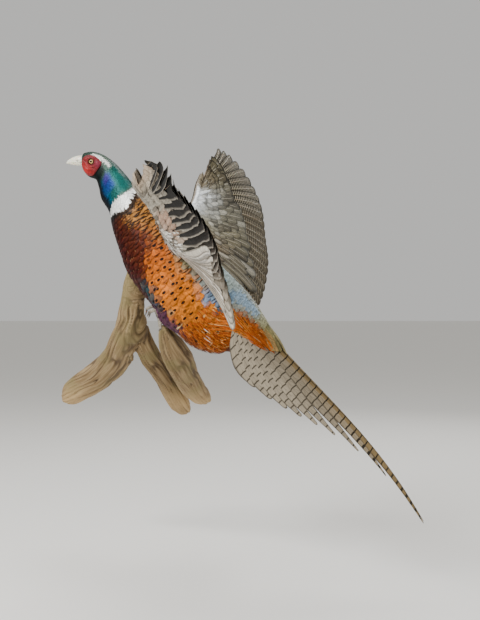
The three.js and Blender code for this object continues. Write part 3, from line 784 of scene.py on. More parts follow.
def coat_neck(rng):
    """Small glossy feathers of the neck and its white ring."""
    s, theta, spacing, _ = quincunx(4.0, 6.75, around=66, ratio=0.75, rng=rng)
    group = lay_on_body(s, theta, spacing * 4.2 + 2.0, spacing * 1.05, SKIN_DEPTH["neck"], rng, rows=6, cols=1,
                        proud=0.4, crown=0.06, stray=0.10)
    base, tip, _ = body_marks(s + 0.12, theta)
    return [marked(group, base, mix(base, tip, 0.25), 0.0, unwrap(s, theta, 3.8, 7))]


def coat_trunk(rng, low, high):
    """Spotted feathers of the trunk whose roots lie between two angles from the back."""
    roots = quincunx(6.35, 13.7, around=30, ratio=0.43, rng=rng, stagger=0.25)
    angle = np.abs(roots[1])
    s, theta, spacing, row = roots[:, (angle >= low) & (angle < high)]
    group = lay_on_body(s, theta, (spacing * 2.3 + 5) * rng.normal(1, 0.05, len(s)),
                        spacing * rng.normal(1.55, 0.09, len(s)), SKIN_DEPTH["trunk"], rng, rows=9, cols=3,
                        proud=0.75, stray=0.10, fray=0.10, rounding=0.75, angle=50, fan=0.5, crown=0.07)
    base, tip, mark = body_marks(s + 0.25, theta)
    base = base * rng.uniform(0.86, 1.12, (len(s), 1))
    degrees = np.degrees(np.abs(theta))
    low_flank = smooth(10.2, 11.0, s) * smooth(86, 98, degrees)
    mantle = degrees < np.interp(s, MANTLE_AT, [104, 90, 72, 66, 66])
    mark = mark * ~(mantle & (s < 8.9)) * (row % 2 == 0) * (1 - low_flank * (rng.random(len(s)) < 0.45))
    plain = (mark < 0.3) & ~mantle & (s > 8.6)
    tip = np.where(plain[:, None], base * 0.8, tip)
    pale = (rng.random(len(s)) < 0.16) * band(s, 10.4, 12.2, 0.3) * band(degrees, 92, 132, 8)
    base = over(base, "#e6c48c", pale * 0.75)
    return [marked(group, base, tip, mark, unwrap(s, theta, 6, 14))]


def strewn(rng, rows, around, low, high):
    """Staggered stations and angles on both sides of the body, between two angles from the back."""
    s, theta = [], []
    for number, station in enumerate(rows):
        angles = np.radians(np.linspace(low, high, around) + (number % 2) * 0.5 * (high - low) / around)
        angles = angles + rng.normal(0, 0.02, around)
        for side in (1, -1):
            theta.append(side * angles)
            s.append(station + rng.normal(0, 0.04, around))
    return np.concatenate(s), np.concatenate(theta)


def rear_group(rng, s, theta, reach, lift, rows=14, cols=2, wide=6.0, bow=0.06, gather=1.0, **shape):
    """Long feathers from the rump that run out over or under the tail's base."""
    root = body_point(s, theta, -2.0 + bulge(s, theta))
    forward, _, left = on_bird(root)
    reach = reach * rng.normal(1, 0.07, len(s))
    end = tail_point(left * gather, TAIL_ROOT[0] - forward + reach, lift + rng.normal(0, 0.5, len(s)))
    facing = body_point(s, theta, 5.0) - body_point(s, theta, 0.0)
    length = gap(end, root)
    half = np.full(len(s), wide / 2) * rng.normal(1, 0.08, len(s))
    return stand(root, end, facing, length, half, half, rng, rows, cols, bow=bow, **shape)


def coat_rear(rng):
    """Coverts over and under the tail's base, loose rufous plumes beside it and down about the vent."""
    groups = []
    s, theta = strewn(rng, np.arange(12.7, 14.75, 0.16), 8, 4, 92)
    group = rear_group(rng, s, theta, mix(46, 14, np.abs(theta) / 1.6) + 5 * (s - 12.7), 2.6, wide=8.0, fray=0.25,
                       rounding=1.1, angle=32, taper=0.3)
    side = np.degrees(np.abs(theta))
    base = blend_keys([(12.6, "#8a8d80"), (13.4, "#85866a"), (14.0, "#857f52"), (14.8, "#8c7d52")],
                      s + rng.normal(0, 0.12, len(s)))
    base = over(base, "#8199ac", band(side + rng.normal(0, 4, len(s)), 12, 42, 6) * (1 - smooth(13.2, 13.9, s)))
    base = over(base, "#ae5a18", smooth(44, 64, side + rng.normal(0, 8, len(s))))
    base = base * rng.uniform(0.85, 1.15, (len(s), 1))
    groups.append(marked(group, base, base * 1.25, 0.0, unwrap(s, theta, 11, 16)))
    s, theta = strewn(rng, np.arange(12.6, 14.9, 0.2), 7, 100, 176)
    group = rear_group(rng, s, theta, 46, -11.0, wide=11, bow=0.05, gather=0.8, fray=0.3, rounding=1.1, angle=36)
    base = over(np.tile(linear("#4a2412"), (len(s), 1)), "#924412", smooth(150, 112, np.degrees(np.abs(theta))))
    base = base * rng.uniform(0.8, 1.2, (len(s), 1))
    groups.append(marked(group, base, base * 0.6, 0.0, unwrap(s, theta, 11, 16)))
    s, theta = strewn(rng, np.arange(11.9, 14.0, 0.1), 13, 54, 104)
    group = rear_group(rng, s, theta, rng.uniform(16, 48, len(s)), rng.uniform(0.5, 4.0, len(s)), rows=9, cols=1,
                       wide=2.3, bow=0.09, gather=1.0, angle=28, taper=0.6, fray=0.3)
    base = blend_keys([(0, "#a24a10"), (0.5, "#b85a14"), (0.85, "#c07830"), (1, "#b08c60")], rng.random(len(s)))
    groups.append(marked(group, base, base * 0.7, 0.0, unwrap(s, theta, 11, 16)))
    return groups


def coat_vent(rng):
    """Loose fluffy feathers about the vent and behind the thighs."""
    roots = quincunx(11.2, 13.9, around=84, ratio=0.6, rng=rng)
    s, theta = roots[:2, np.abs(roots[1]) > math.radians(80) + rng.normal(0, 0.12, roots.shape[1])]
    group = lay_on_body(s, theta, rng.uniform(20, 32, len(s)), rng.uniform(2.2, 4.2, len(s)), SKIN_DEPTH["vent"],
                        rng, rows=8, cols=1, proud=3.4, crown=0.05, fray=0.3, angle=28, rounding=1.2, taper=0.6)
    shade = rng.random(len(s))
    base = blend_keys([(0, "#853a0c"), (0.4, "#b05310"), (0.85, "#be6a1c"), (1, "#cf9a5c")], shade)
    base = over(base, "#3a2015", smooth(150, 172, np.degrees(np.abs(theta))) * 0.8)
    base = over(base, "#e8ddd0", (rng.random(len(s)) < 0.03) * (1 - smooth(11.6, 12.3, s)))
    return [marked(group, base, base * 0.7, 0.0, unwrap(s, theta, 11, 14))]


# ---------------------------------------------------------------- flight feathers
def wing_feather_group(wing, u, tip_at, left, right, rng, rows, cols, roll=7.0, lift=0.0, **shape):
    """Quills from the wing's root line to its tip line; each lies over the one outside it."""
    ends = [wing.sheet(wing.quill(u, v), v) for v in (0.0, 0.45, 0.55, 1.0)]
    full = gap(ends[3], ends[0])
    length = full * tip_at
    vanes = x, y, _, _ = vane(length, left, right, rows, cols, rng=rng, **shape)
    v = y / each(full)
    place = wing.quill(np.broadcast_to(each(u), x.shape), v)
    step = 0.01
    per_unit = gap(wing.sheet(place + step, v), wing.sheet(place - step, v)) / (2 * step)
    middle = wing.quill(u, 0.5)
    outward = unit(wing.sheet(middle + step, 0.5) - wing.sheet(middle - step, 0.5))
    lean = each(np.clip((outward * unit(ends[2] - ends[1])).sum(-1), -0.85, 0.85))
    slant = np.sqrt(1 - lean ** 2)
    per_unit, v = per_unit * slant, v - x * lean / slant / each(full)
    lifted = lift - math.tan(math.radians(roll)) * x - 0.10 * np.abs(x) ** 1.3 / 3
    at = wing.sheet(place + x / np.maximum(per_unit, 60), v, lifted)
    return laid(vanes, at, length, wing.facing(u), rng.random(len(u)), 0.5)


def flight_feathers(wing, rng):
    """Primaries and secondaries, outermost first: barred above; below, dark slate that is partly painted shade, or
    pale.
    """
    groups = []
    roll = 7.0 if wing.side < 0 else 18.0
    # the dark slate under the primaries and the inner secondaries is darker than the feathers' own grey: partly
    # painted shade
    for u, left, right, rows, ground, bar, mark, under, under_tip in (
            (OUTER, np.linspace(17, 19, PRIMARIES), np.linspace(6.5, 11, PRIMARIES), 48, "#282319", "#a89f8c", 1.0,
             "#2d2c2b", "#a9a194"),
            (INNER, np.linspace(19, 21, SECONDARIES), np.linspace(12, 15, SECONDARIES), 44, "#4a4234", "#8c8370", 0.6,
             None, None)):
        group = wing_feather_group(wing, u, np.full(len(u), 0.995), left, right, rng, rows, cols=6, roll=roll,
                                   fray=0.05, rounding=0.9, angle=42, base=0.5, fan=0.3, taper=0.15)
        if under is None:
            under = blend_keys([(0.54, "#33312e"), (0.72, "#423e38"), (0.8, "#8d8577"), (1.0, "#c6bfb0")], u)
            under_tip = blend_keys([(0.54, "#a9a194"), (0.74, "#a9a194"), (0.82, "#5b5448")], u)
        else:
            under, under_tip = linear(under), linear(under_tip)
        first = 0.5 if len(u) == SECONDARIES else 0
        groups.append(marked(group, linear(ground), linear(bar), mark, strips(len(u), 24, first),
                             (0.036, STRIP_LONG), under=under, under_tip=under_tip, under_mark=-0.8,
                             apart=STRIP_APART))
    return groups


def quill_ribs(name, wing, material):
    """The pale shafts that stand along the middles of the flight feathers."""
    place, along = np.meshgrid(np.concatenate([OUTER, INNER]), np.linspace(0.15, 0.94, 30), indexing="ij")
    path = wing.sheet(wing.quill(place, along), along, 0.1)
    radius = np.broadcast_to(np.linspace(1.1, 0.3, 30), place.shape)
    return ribs(name, path, radius, wing.facing(place), material)


RIB_SIDES = 6


def ribs(name, path, radius, facing, material):
    """Tapered tubes along paths, flat at both ends."""
    along = unit(np.gradient(path, axis=1))
    beside = unit(np.cross(along, facing))
    normal = np.cross(beside, along)
    turn = np.arange(RIB_SIDES) / RIB_SIDES * 2 * math.pi
    around = (beside[:, :, None] * np.cos(turn)[None, None, :, None]
              + normal[:, :, None] * np.sin(turn)[None, None, :, None])
    tube = path[:, :, None] + around * radius[..., None, None]
    total, rings = path.shape[:2]
    point = np.ones((1, 1, RIB_SIDES, 1))
    ends = np.concatenate([path[:, :1, None] * point, tube, path[:, -1:, None] * point], axis=1)
    rings += 2
    index = np.arange(rings * RIB_SIDES).reshape(rings, RIB_SIDES)
    quads = np.stack([index[:-1], np.roll(index[:-1], -1, 1), np.roll(index[1:], -1, 1), index[1:]], -1).reshape(-1, 4)
    faces = (each(np.arange(total)).astype(int) * rings * RIB_SIDES + quads).reshape(-1, 4)
    mesh = mesh_from(name, ends.reshape(-1, 3) * MM, faces)
    clean(mesh)
    return settle(name, mesh, material)


def clean(mesh, distance=1e-6):
    """Merges doubled places and turns every face outwards."""
    work = bmesh.new()
    work.from_mesh(mesh)
    bmesh.ops.remove_doubles(work, verts=work.verts, dist=distance)
    bmesh.ops.dissolve_degenerate(work, edges=work.edges, dist=distance / 10)
    bmesh.ops.recalc_face_normals(work, faces=work.faces)
    work.to_mesh(mesh)
    work.free()


def wing_marks(u, along, face, rng):
    """Covert colours: silver over the wrist and forearm, streaked tan on the hand, brown by the shoulder."""
    wander = ripple((u, 21.0, 0.5), (along, 17.0, 1.2), (u * along, 33.0, 0.0))
    mixed = rng.random(len(u))
    if face < 0:
        ground = blend_keys([(0, "#b59f88"), (0.12, "#a79a88"), (0.3, "#9d978a"), (0.6, "#a8a294"), (0.85, "#c4beb0"),
                             (1.0, "#dedbd2")], u + 0.05 * wander)
        ground = layered(ground, ("#b58f78", band(u, 0.58, 0.8, 0.05) * band(along, 0.3, 0.62, 0.08) * 0.8),
                         ("#eeece6", band(u, 0.72, 1.1, 0.06) * band(along, 0.1, 0.4, 0.08) * 0.9),
                         ("#5d564c", (mixed < 0.14) * 0.7))
        return ground * rng.uniform(0.85, 1.12, (len(u), 1)), ground * 0.55, np.where(mixed > 0.6, 0.7, 0.2)
    ground = blend_keys([(0, "#5d5341"), (0.2, "#6a604c"), (0.3, "#918d7f"), (0.42, "#b8bab9"), (0.6, "#a2a39c"),
                         (0.74, "#7f7a67"), (0.84, "#5e503b"), (1.0, "#54412d")], u + 0.04 * wander)
    ground = layered(ground, ("#5d5743", smooth(0.38, 0.85, along + 0.08 * wander) * 0.85),
                     ("#eef2f6", band(u, 0.27, 0.62, 0.08) * (1 - smooth(0.14, 0.5, along)) * 0.95),
                     ("#d9d5c6", (mixed > 0.86) * smooth(0.2, 0.4, along) * 0.22),
                     ("#3a3328", (mixed < 0.28) * smooth(0.25, 0.5, along) * 0.6))
    ground = ground * rng.uniform(0.85, 1.12, (len(u), 1))
    mark = np.clip(smooth(0.34, 0.18, u) + smooth(0.25, 0.7, along) * 0.8 + smooth(0.72, 0.9, u), 0.15, 0.95)
    return ground, ground * mix(0.4, 0.26, smooth(0.4, 0.15, u))[:, None], mark


# rows of coverts from the leading edge: place along the arm, how many, length and width in mm
UPPER_COVERTS = [(0.0, 44, 11, 7), (0.07, 42, 12, 7.5), (0.14, 40, 13, 8), (0.21, 38, 14, 8.5), (0.28, 36, 15, 9),
                 (0.36, 34, 17, 10), (0.44, 32, 19, 11), (0.52, 30, 22, 12), (0.60, 28, 27, 15), (0.69, 26, 34, 18),
                 (0.78, 25, 46, 20), (0.88, 24, 56, 22)]
UNDER_COVERTS = [(0.0, 40, 12, 7.5), (0.10, 38, 13, 8), (0.20, 36, 15, 9), (0.30, 34, 17, 10), (0.41, 30, 20, 11),
                 (0.52, 28, 24, 12), (0.64, 26, 28, 13), (0.76, 26, 32, 13)]


def coverts(wing, rng, face):
    """Rows of coverts over one face of the arm, small along the leading edge and long over the quills."""
    groups = []
    table = UPPER_COVERTS if face > 0 else UNDER_COVERTS
    for number, (along, count, length, width) in enumerate(table[::-1]):
        u = np.linspace(0.015, 0.975, count) + 0.5 / count * (number % 2) + rng.normal(0, 0.08 / count, count)
        a = along + rng.normal(0, 0.01, count)
        long = length * rng.normal(1, 0.06, count)
        if face > 0 and along > 0.5:
            # longer by the shoulder, shorter over the primaries
            long = long * (1 + 0.6 * smooth(0.76, 0.95, u) - 0.5 * smooth(0.62, 0.4, u) * smooth(0.5, 0.8, along))
        wide = width * rng.normal(1, 0.05, count)
        vanes = x, y, _, _ = vane(long, wide * 0.5, wide * 0.5, 10 if length < 30 else 16, 3, rng=rng, fray=0.12,
                                  rounding=1.0, angle=40, fan=0.4)
        per_u = gap(wing.arm(u + 0.01, a, 0.0, face), wing.arm(u - 0.01, a, 0.0, face)) / 0.02
        per_a = gap(wing.arm(u, a + 0.06, 0.0, face), wing.arm(u, a + 0.01, 0.0, face)) / 0.05
        per_u, per_a = each(np.maximum(per_u, 40)), each(np.maximum(per_a, 40))
        reach = y / each(long)
        height = (0.3 + 1.3 * along + each(rng.normal(0, 0.2, count)) + 1.6 * reach * (1 - 0.4 * reach)
                  - 0.055 * each(wide) * (x / (each(wide) / 2)) ** 2 * (0.4 + 0.6 * reach))
        drift = -wing.swept * 0.35 * smooth(0.1, 0.4, u) * (1 - smooth(0.6, 0.9, u)) * length / 40
        turn = each(rng.normal(0, 0.06, count))
        place = each(u) + each(drift) * reach + (x + turn * y) / per_u
        at = wing.arm(place, each(a) + y / per_a, height, face)
        base, tip, mark = wing_marks(u, a, face, rng)
        group = laid(vanes, at, long, wing.facing(u) * face, rng.random(count), 0.25)
        groups.append(marked(group, base, tip, mark, unwrap(u, a, -0.05, 1.05, -0.05, 1.05)))
    return groups


def armpit(wing, rng):
    """Long pale axillaries under the wing's root, and white down on both faces beside the body."""
    groups = []
    count = 22
    u = np.linspace(0.66, 0.995, count)
    half = rng.uniform(5.0, 7.0, count)
    group = wing_feather_group(wing, u, rng.uniform(0.52, 0.9, count), half, half, rng, rows=36, cols=3,
                               roll=12, lift=-6.5, fray=0.12, angle=30, rounding=1.2, taper=0.3)
    base = blend_keys([(0, "#a59c8c"), (0.6, "#c9c3b6"), (1, "#e6e2d9")], rng.random(count))
    groups.append(marked(group, base, base * 0.4, 0.8, unwrap(u, u * 0 + 0.5, -0.05, 1.15, -0.05, 1.05)))
    for face, low, high, count in ((-1, 0.7, 1.0, 130), (1, 0.93, 1.0, 20)):
        u, a = rng.uniform(low, high, count), rng.uniform(0.12, 0.62, count)
        root, out = wing.arm(u, a, 0.3, face), wing.facing(u) * face
        way = unit(wing.arm(u, a + 0.08, 0.3, face) - root + rng.normal(0, 1.8, (count, 3)))
        length = rng.uniform(8, 16, count)
        group = stand(root, root + way * length[:, None] + out * rng.uniform(0.5, 2, (count, 1)), out, length,
                      np.full(count, 2.6), np.full(count, 2.6), rng, rows=8, cols=1, bow=0.1, fray=0.4, angle=30,
                      taper=0.4)
        base = blend_keys([(0, "#cfcac0"), (1, "#f1efe9")], rng.random(count))
        groups.append(marked(group, base, base, 0.0, unwrap(u, a, -0.05, 1.15, -0.05, 1.05)))
    return groups


# ---------------------------------------------------------------- tail feathers
def tail_feathers(side, rng):
    """Half of the tail: its longest feather on top, the rest fanned out below and beside it."""
    index = np.arange(len(TAIL_LENGTHS))
    length = np.array(TAIL_LENGTHS, float)
    taper = np.interp(index, [0, 1, 3, 8], [0.93, 0.92, 0.84, 0.6])
    near_web, far_web = (np.interp(index, [0, 1, 4, 8], webs) for webs in ([20, 16, 15, 15], [11, 15, 17, 17]))
    vanes = x, y, _, _ = vane(length, near_web, far_web, rows=110, cols=6, rng=rng, fray=0.03, angle=28,
                              rounding=2.0, base=0.75, taper=taper, fan=0.14)
    along = y / each(length)
    outwards = mix(along, along * (2 - along) * (1 + 0.2 * (1 - along)), each(smooth(0, 3, index)))
    middle = mix(2 + each(index) * TAIL_PITCH, each(TAIL_SPREAD), outwards)
    under = -0.75 * each(index) + 1.2 - 0.06 * x - 0.35 * (np.abs(x) / 12) ** 2
    at = tail_point(side * (middle + x), y, under)
    out = unit(tail_point(side * middle[:, 30, 6], length * 0.3, 5.0)
               - tail_point(side * middle[:, 30, 6], length * 0.3, 0.0))
    group = laid(vanes, at, length, out, np.modf(index * 0.47 + 0.1 * rng.random(len(index)))[0], 0.6)
    base = over(np.tile(linear("#978c79"), (len(index), 1)), "#85704c", np.exp(-index / 1.2))
    return [marked(group, base, linear("#1d1813"), np.where(index < 2, 1.0, 0.78), strips(len(index), 10),
                   (0.09, STRIP_LONG), under=base * 0.8, apart=STRIP_APART)]


# ---------------------------------------------------------------- solid pieces
def loft(rings, close=True, **layers):
    """A bmesh tube through rings of places (rings, around, 3) in mm, its ends closed with fans; each
    layer holds a number for every place."""
    rings = np.asarray(rings, float)
    total, around = rings.shape[:2]
    work = bmesh.new()
    numbers = {name: (work.verts.layers.float.new(name), values) for name, values in layers.items()}
    for vert in bmesh.ops.create_grid(work, x_segments=around, y_segments=total - 1, size=1.0)["verts"]:
        row, column = round((vert.co.y + 1) / 2 * (total - 1)), round((vert.co.x + 1) / 2 * around) % around
        vert.co = Vector(rings[row, column]) * MM
        for layer, values in numbers.values():
            vert[layer] = float(values[row][column])
    bmesh.ops.remove_doubles(work, verts=work.verts, dist=1e-7)
    if close:
        caps = bmesh.ops.holes_fill(work, edges=work.edges, sides=0)["faces"]
        bmesh.ops.poke(work, faces=caps)
    bmesh.ops.recalc_face_normals(work, faces=work.faces)
    return work


def mesh_of(work, name):
    mesh = bpy.data.meshes.new(name)
    for face in work.faces:
        face.smooth = True
    work.to_mesh(mesh)
    work.free()
    return mesh


def fused(names, voxel):
    """The CAD nodes' solids copied, merged and grown together into one closed mesh."""
    work = bmesh.new()
    for name in names:
        work.from_mesh(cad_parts[name].data)
    bmesh.ops.remove_doubles(work, verts=work.verts, dist=1e-6)
    lump = new_object("lump", mesh_of(work, "lump"))
    remesh = lump.modifiers.new("Remesh", "REMESH")
    remesh.mode = "VOXEL"
    remesh.voxel_size = voxel * MM
    remesh.use_smooth_shade = True
    ready = lump.evaluated_get(bpy.context.evaluated_depsgraph_get())
    mesh = bpy.data.meshes.new_from_object(ready)
    source = lump.data
    bpy.data.objects.remove(lump)
    bpy.data.meshes.remove(source)
    return mesh


def read(mesh, label):
    values = np.empty(len(mesh.vertices) * 3, np.float32)
    mesh.vertices.foreach_get(label, values)
    return values.reshape(-1, 3).astype(float)


def places_of(mesh):
    return read(mesh, "co") / MM


def put_places(mesh, at):
    mesh.vertices.foreach_set("co", (np.asarray(at) * MM).astype(np.float32).ravel())
    mesh.update()


def relax(mesh, times, strength=0.5):
    """Evens a mesh out."""
    work = bmesh.new()
    work.from_mesh(mesh)
    for _ in range(times):
        bmesh.ops.smooth_vert(work, verts=work.verts, factor=strength, use_axis_x=True, use_axis_y=True,
                              use_axis_z=True)
    work.to_mesh(mesh)
    work.free()


def nearest(samples, at, count=1):
    """For each place, which samples lie nearest."""
    tree = KDTree(len(samples))
    for index, place in enumerate(samples):
        tree.insert(place, index)
    tree.balance()
    found = [[hit[1] for hit in tree.find_n(place, count)] for place in at]
    return np.array(found)


FLESH = ["head", "neck", "trunk", "rump", "thigh_left", "thigh_right", "wing_left_arm", "wing_right_arm"]


def make_skin(material):
    """One skin under all the feathers, without seams, sunk by the depth of the coat."""
    mesh = fused(FLESH, voxel=2.2)
    relax(mesh, times=3)
    s, theta = (grid.ravel() for grid in np.meshgrid(np.linspace(0, LAST, 151), np.linspace(-math.pi, math.pi, 49)))
    samples = [body_point(s, theta, 0.0)]
    depth = [np.interp(s, [0, 3.5, 4.5, 6, 7.5, 13.5, 15], [1.2, 1.4, 3.0, 3.6, 6.0, 5.0, 4.0])]
    # painted shade: the skin takes the feathers' own colours at seven tenths, so that where it shows between them it
    # reads as their shade
    shades = [body_marks(s, theta)[0] * 0.7]
    for name in WINGS:
        wing = Wing(name)
        u, a = (grid.ravel() for grid in np.meshgrid(np.linspace(0, 0.93, 30), np.linspace(0, 1, 24)))
        for face in (1, -1):
            samples.append(wing.arm(u, a, 0.0, face))
            depth.append(np.full(len(u), 0.5))
            shades.append(np.tile(linear("#8a7f70"), (len(u), 1)))
    samples, depth, shades = (np.concatenate(rows) for rows in (samples, depth, shades))
    at = places_of(mesh)
    near = nearest(samples, at, count=4)
    put_places(mesh, at - read(mesh, "normal") * depth[near].mean(axis=1)[:, None])
    relax(mesh, times=2)
    paint(mesh, "Base", "FLOAT_COLOR", shades[near].mean(axis=1))
    return settle("skin", mesh, material, FLESH)


# ---------------------------------------------------------------- head
EYE = {"at": (254, 35.5), "out": 11.2, "radius": 5.5}
WATTLE_OUTLINE = [(269, 28), (268.5, 35), (263, 41.5), (254, 46.5), (246.5, 48.0), (239.5, 48.5), (238.0, 40.5),
                  (236.5, 31), (235.5, 23), (238.5, 16), (245, 11.6), (253, 12), (260, 15.8), (265, 21.4)]


def head_side(forward, up):
    """How far out the head's surface is at places seen from its side."""
    s, theta = (grid.ravel() for grid in np.meshgrid(np.linspace(0, 5, 260), np.linspace(0.02, math.pi - 0.02, 120)))
    f, u, out = on_bird(body_point(s, theta, 0.0))
    flat = np.stack([f, u, np.zeros_like(f)], -1)
    wanted = np.stack([forward.ravel(), up.ravel(), np.zeros(forward.size)], -1)
    near = nearest(flat, wanted, count=5)
    return out[near].mean(axis=1).reshape(forward.shape)


def hump(forward, up, at, size):
    """A rounded swelling, 1 in its middle, seen from the head's side."""
    return np.exp(-((forward - at[0]) / size[0]) ** 2 - ((up - at[1]) / size[1]) ** 2)


def crease(forward, up, half):
    """The furrow that runs back under the eye."""
    return np.exp(-((up - 30.5 + 0.25 * (forward - 250)) / half) ** 2)


LID = 4.3                                          # half width of the lids' opening, in mm
EAR = (243, 42)


def make_wattle(name, side, material):
    """Bare red skin: a swollen lobe on the cheek, a comb over the eye, folds and papillae, and the lids."""
    around, rows = 120, 44
    centre = np.array(EYE["at"], float)
    outline = np.array(WATTLE_OUTLINE, float) - centre
    bearing = np.arctan2(outline[:, 1], outline[:, 0])
    order = np.argsort(bearing)
    reach = np.hypot(*outline.T)[order]
    bearing = bearing[order]
    turn = np.linspace(-math.pi, math.pi, around, endpoint=False)
    wide = np.interp(turn, np.concatenate([bearing - 2 * math.pi, bearing, bearing + 2 * math.pi]), np.tile(reach, 3))
    kernel = np.array([1, 2, 3, 2, 1]) / 9
    for _ in range(3):
        wide = np.convolve(np.concatenate([wide[-2:], wide, wide[:2]]), kernel, "valid")
    t = np.linspace(0, 1, rows)[:, None]
    distance = LID + (wide[None] - LID) * t
    forward = centre[0] + distance * np.cos(turn)
    up = centre[1] + distance * np.sin(turn)
    out = head_side(forward, up)
    flat = EYE["out"] + math.sqrt(EYE["radius"] ** 2 - LID ** 2) + 0.25
    close = 1 - smooth(0.0, 5.5, distance - LID)
    out = mix(out, flat, close * 0.9)
    edge = smooth(1.0, 0.72, t)
    rise = (0.5 + 1.1 * smooth(0, 0.12, t)) * np.sqrt(np.clip(1 - t ** 6, 0, 1)) - 0.9 * (1 - smooth(0, 0.05, t))
    for place, size, height in (((248, 20.5), (9.5, 7.5), 3.6), (EAR, (5.5, 5), 1.9),
                                ((257, 43.5), (7, 2.6), 1.1), ((265, 31), (3.5, 6), 0.6)):
        rise = rise + height * hump(forward, up, place, size) * edge
    rise = rise - 1.1 * crease(forward, up, 1.3) * smooth(0.25, 0.5, t) * edge
    for place, height in ((1.2, 0.55), (2.9, -0.45)):
        rise = rise + height * np.exp(-((distance - LID - place) / 0.7) ** 2)
    fold = 0.35 * np.sin(distance * 0.9 + 2.0 * np.sin(turn * 2)) * smooth(0.2, 0.4, t) * smooth(1, 0.8, t)
    bump = pebble(forward - centre[0], up - centre[1], spacing=1.15) * smooth(0.10, 0.2, t) * smooth(1.0, 0.9, t)
    rise = rise + fold + 0.45 * bump
    rise[-1] = -0.6
    places = bird(forward, up, side * (out + rise))
    rings = np.concatenate([places[:1] - LEFT * side * 1.6, places], axis=0)
    work = loft(rings, close=False)
    mesh = mesh_of(work, "wattle")
    forward, up, _ = on_bird(places_of(mesh))
    deg = np.degrees(np.arctan2(up - centre[1], forward - centre[0]))
    far = np.hypot(up - centre[1], forward - centre[0])
    shade = blend_keys([(0, "#220405"), (5.0, "#45070a"), (6.8, "#7c0b10"), (30, "#860d13")], far)
    # the last layer is painted shade along the furrow under the eye
    shade = layered(shade, ("#8c1c40", hump(forward, up, EAR, (7, 6)) * 0.85),
                    ("#b5130f", np.exp(-((forward - 248) / 12) ** 2 - ((up - 20) / 9) ** 4)),
                    ("#5e0a14", band(deg, -10, 60, 20) * smooth(8, 12, far) * 0.6),
                    ("#5c0a10", crease(forward, up, 1.6) * smooth(8, 10, far) * 0.6))
    paint(mesh, "Base", "FLOAT_COLOR", shade)
    return settle(f"face_skin_{name}_bare", mesh, material, [f"face_skin_{name}"])


def pebble(x, y, spacing):
    """Rounded grains on a loose lattice, 0 between them and 1 on top."""
    cell_x, cell_y = np.floor(x / spacing), np.floor(y / spacing)
    best = np.full(x.shape, 9.0)
    for dx in (-1, 0, 1):
        for dy in (-1, 0, 1):
            cx, cy = cell_x + dx, cell_y + dy
            shake = np.stack([np.modf(np.abs(np.sin(cx * 127.1 + cy * 311.7) * 43758.5))[0],
                              np.modf(np.abs(np.sin(cx * 269.5 + cy * 183.3) * 43758.5))[0]])
            px, py = (cx + 0.2 + 0.6 * shake[0]) * spacing, (cy + 0.2 + 0.6 * shake[1]) * spacing
            best = np.minimum(best, np.hypot(x - px, y - py))
    return np.clip(1 - (best / (spacing * 0.62)) ** 2, 0, 1)


def make_eye(name, side, material):
    """A glass eye: its clear dome, iris and pupil are told by their angle from the way it looks."""
    work = bmesh.new()
    bmesh.ops.create_uvsphere(work, u_segments=48, v_segments=32, radius=EYE["radius"] * 0.94 * MM)
    centre = bird(*EYE["at"], side * EYE["out"])
    look = unit(LEFT * side + FORWARD * 0.10)
    mesh = mesh_of(work, "eye")
    at = places_of(mesh)
    upright = np.array([0, 0, 1.0])
    angle = np.arccos(np.clip(unit(at) @ upright, -1, 1))
    axis = Vector(np.cross(upright, look)).normalized()
    spin = np.array(Matrix.Rotation(math.acos(float(look @ upright)), 3, axis))
    put_places(mesh, at @ spin.T + centre)
    paint(mesh, "Look", "FLOAT", np.degrees(angle))
    return settle(f"eye_{name}_glass", mesh, material, [f"eye_{name}"])


BILL_KEYS = [-0.18, 0, 0.2, 0.4, 0.6, 0.8, 0.93, 1.0]
CULMEN = [9.2, 9.3, 9.0, 8.1, 6.4, 3.9, 1.3, -1.7]          # mm above the bill's axis
MOUTH = [-2.6, -2.6, -2.4, -2.3, -2.3, -2.4, -2.5, -2.7]
GONYS = [-8.6, -8.4, -7.8, -7.0, -5.9, -4.4, -3.3, -2.8]
HALF_WIDTH = [6.9, 6.6, 5.7, 4.8, 3.8, 2.7, 1.6, 0.5]
BILL_TIP = (286, -2)


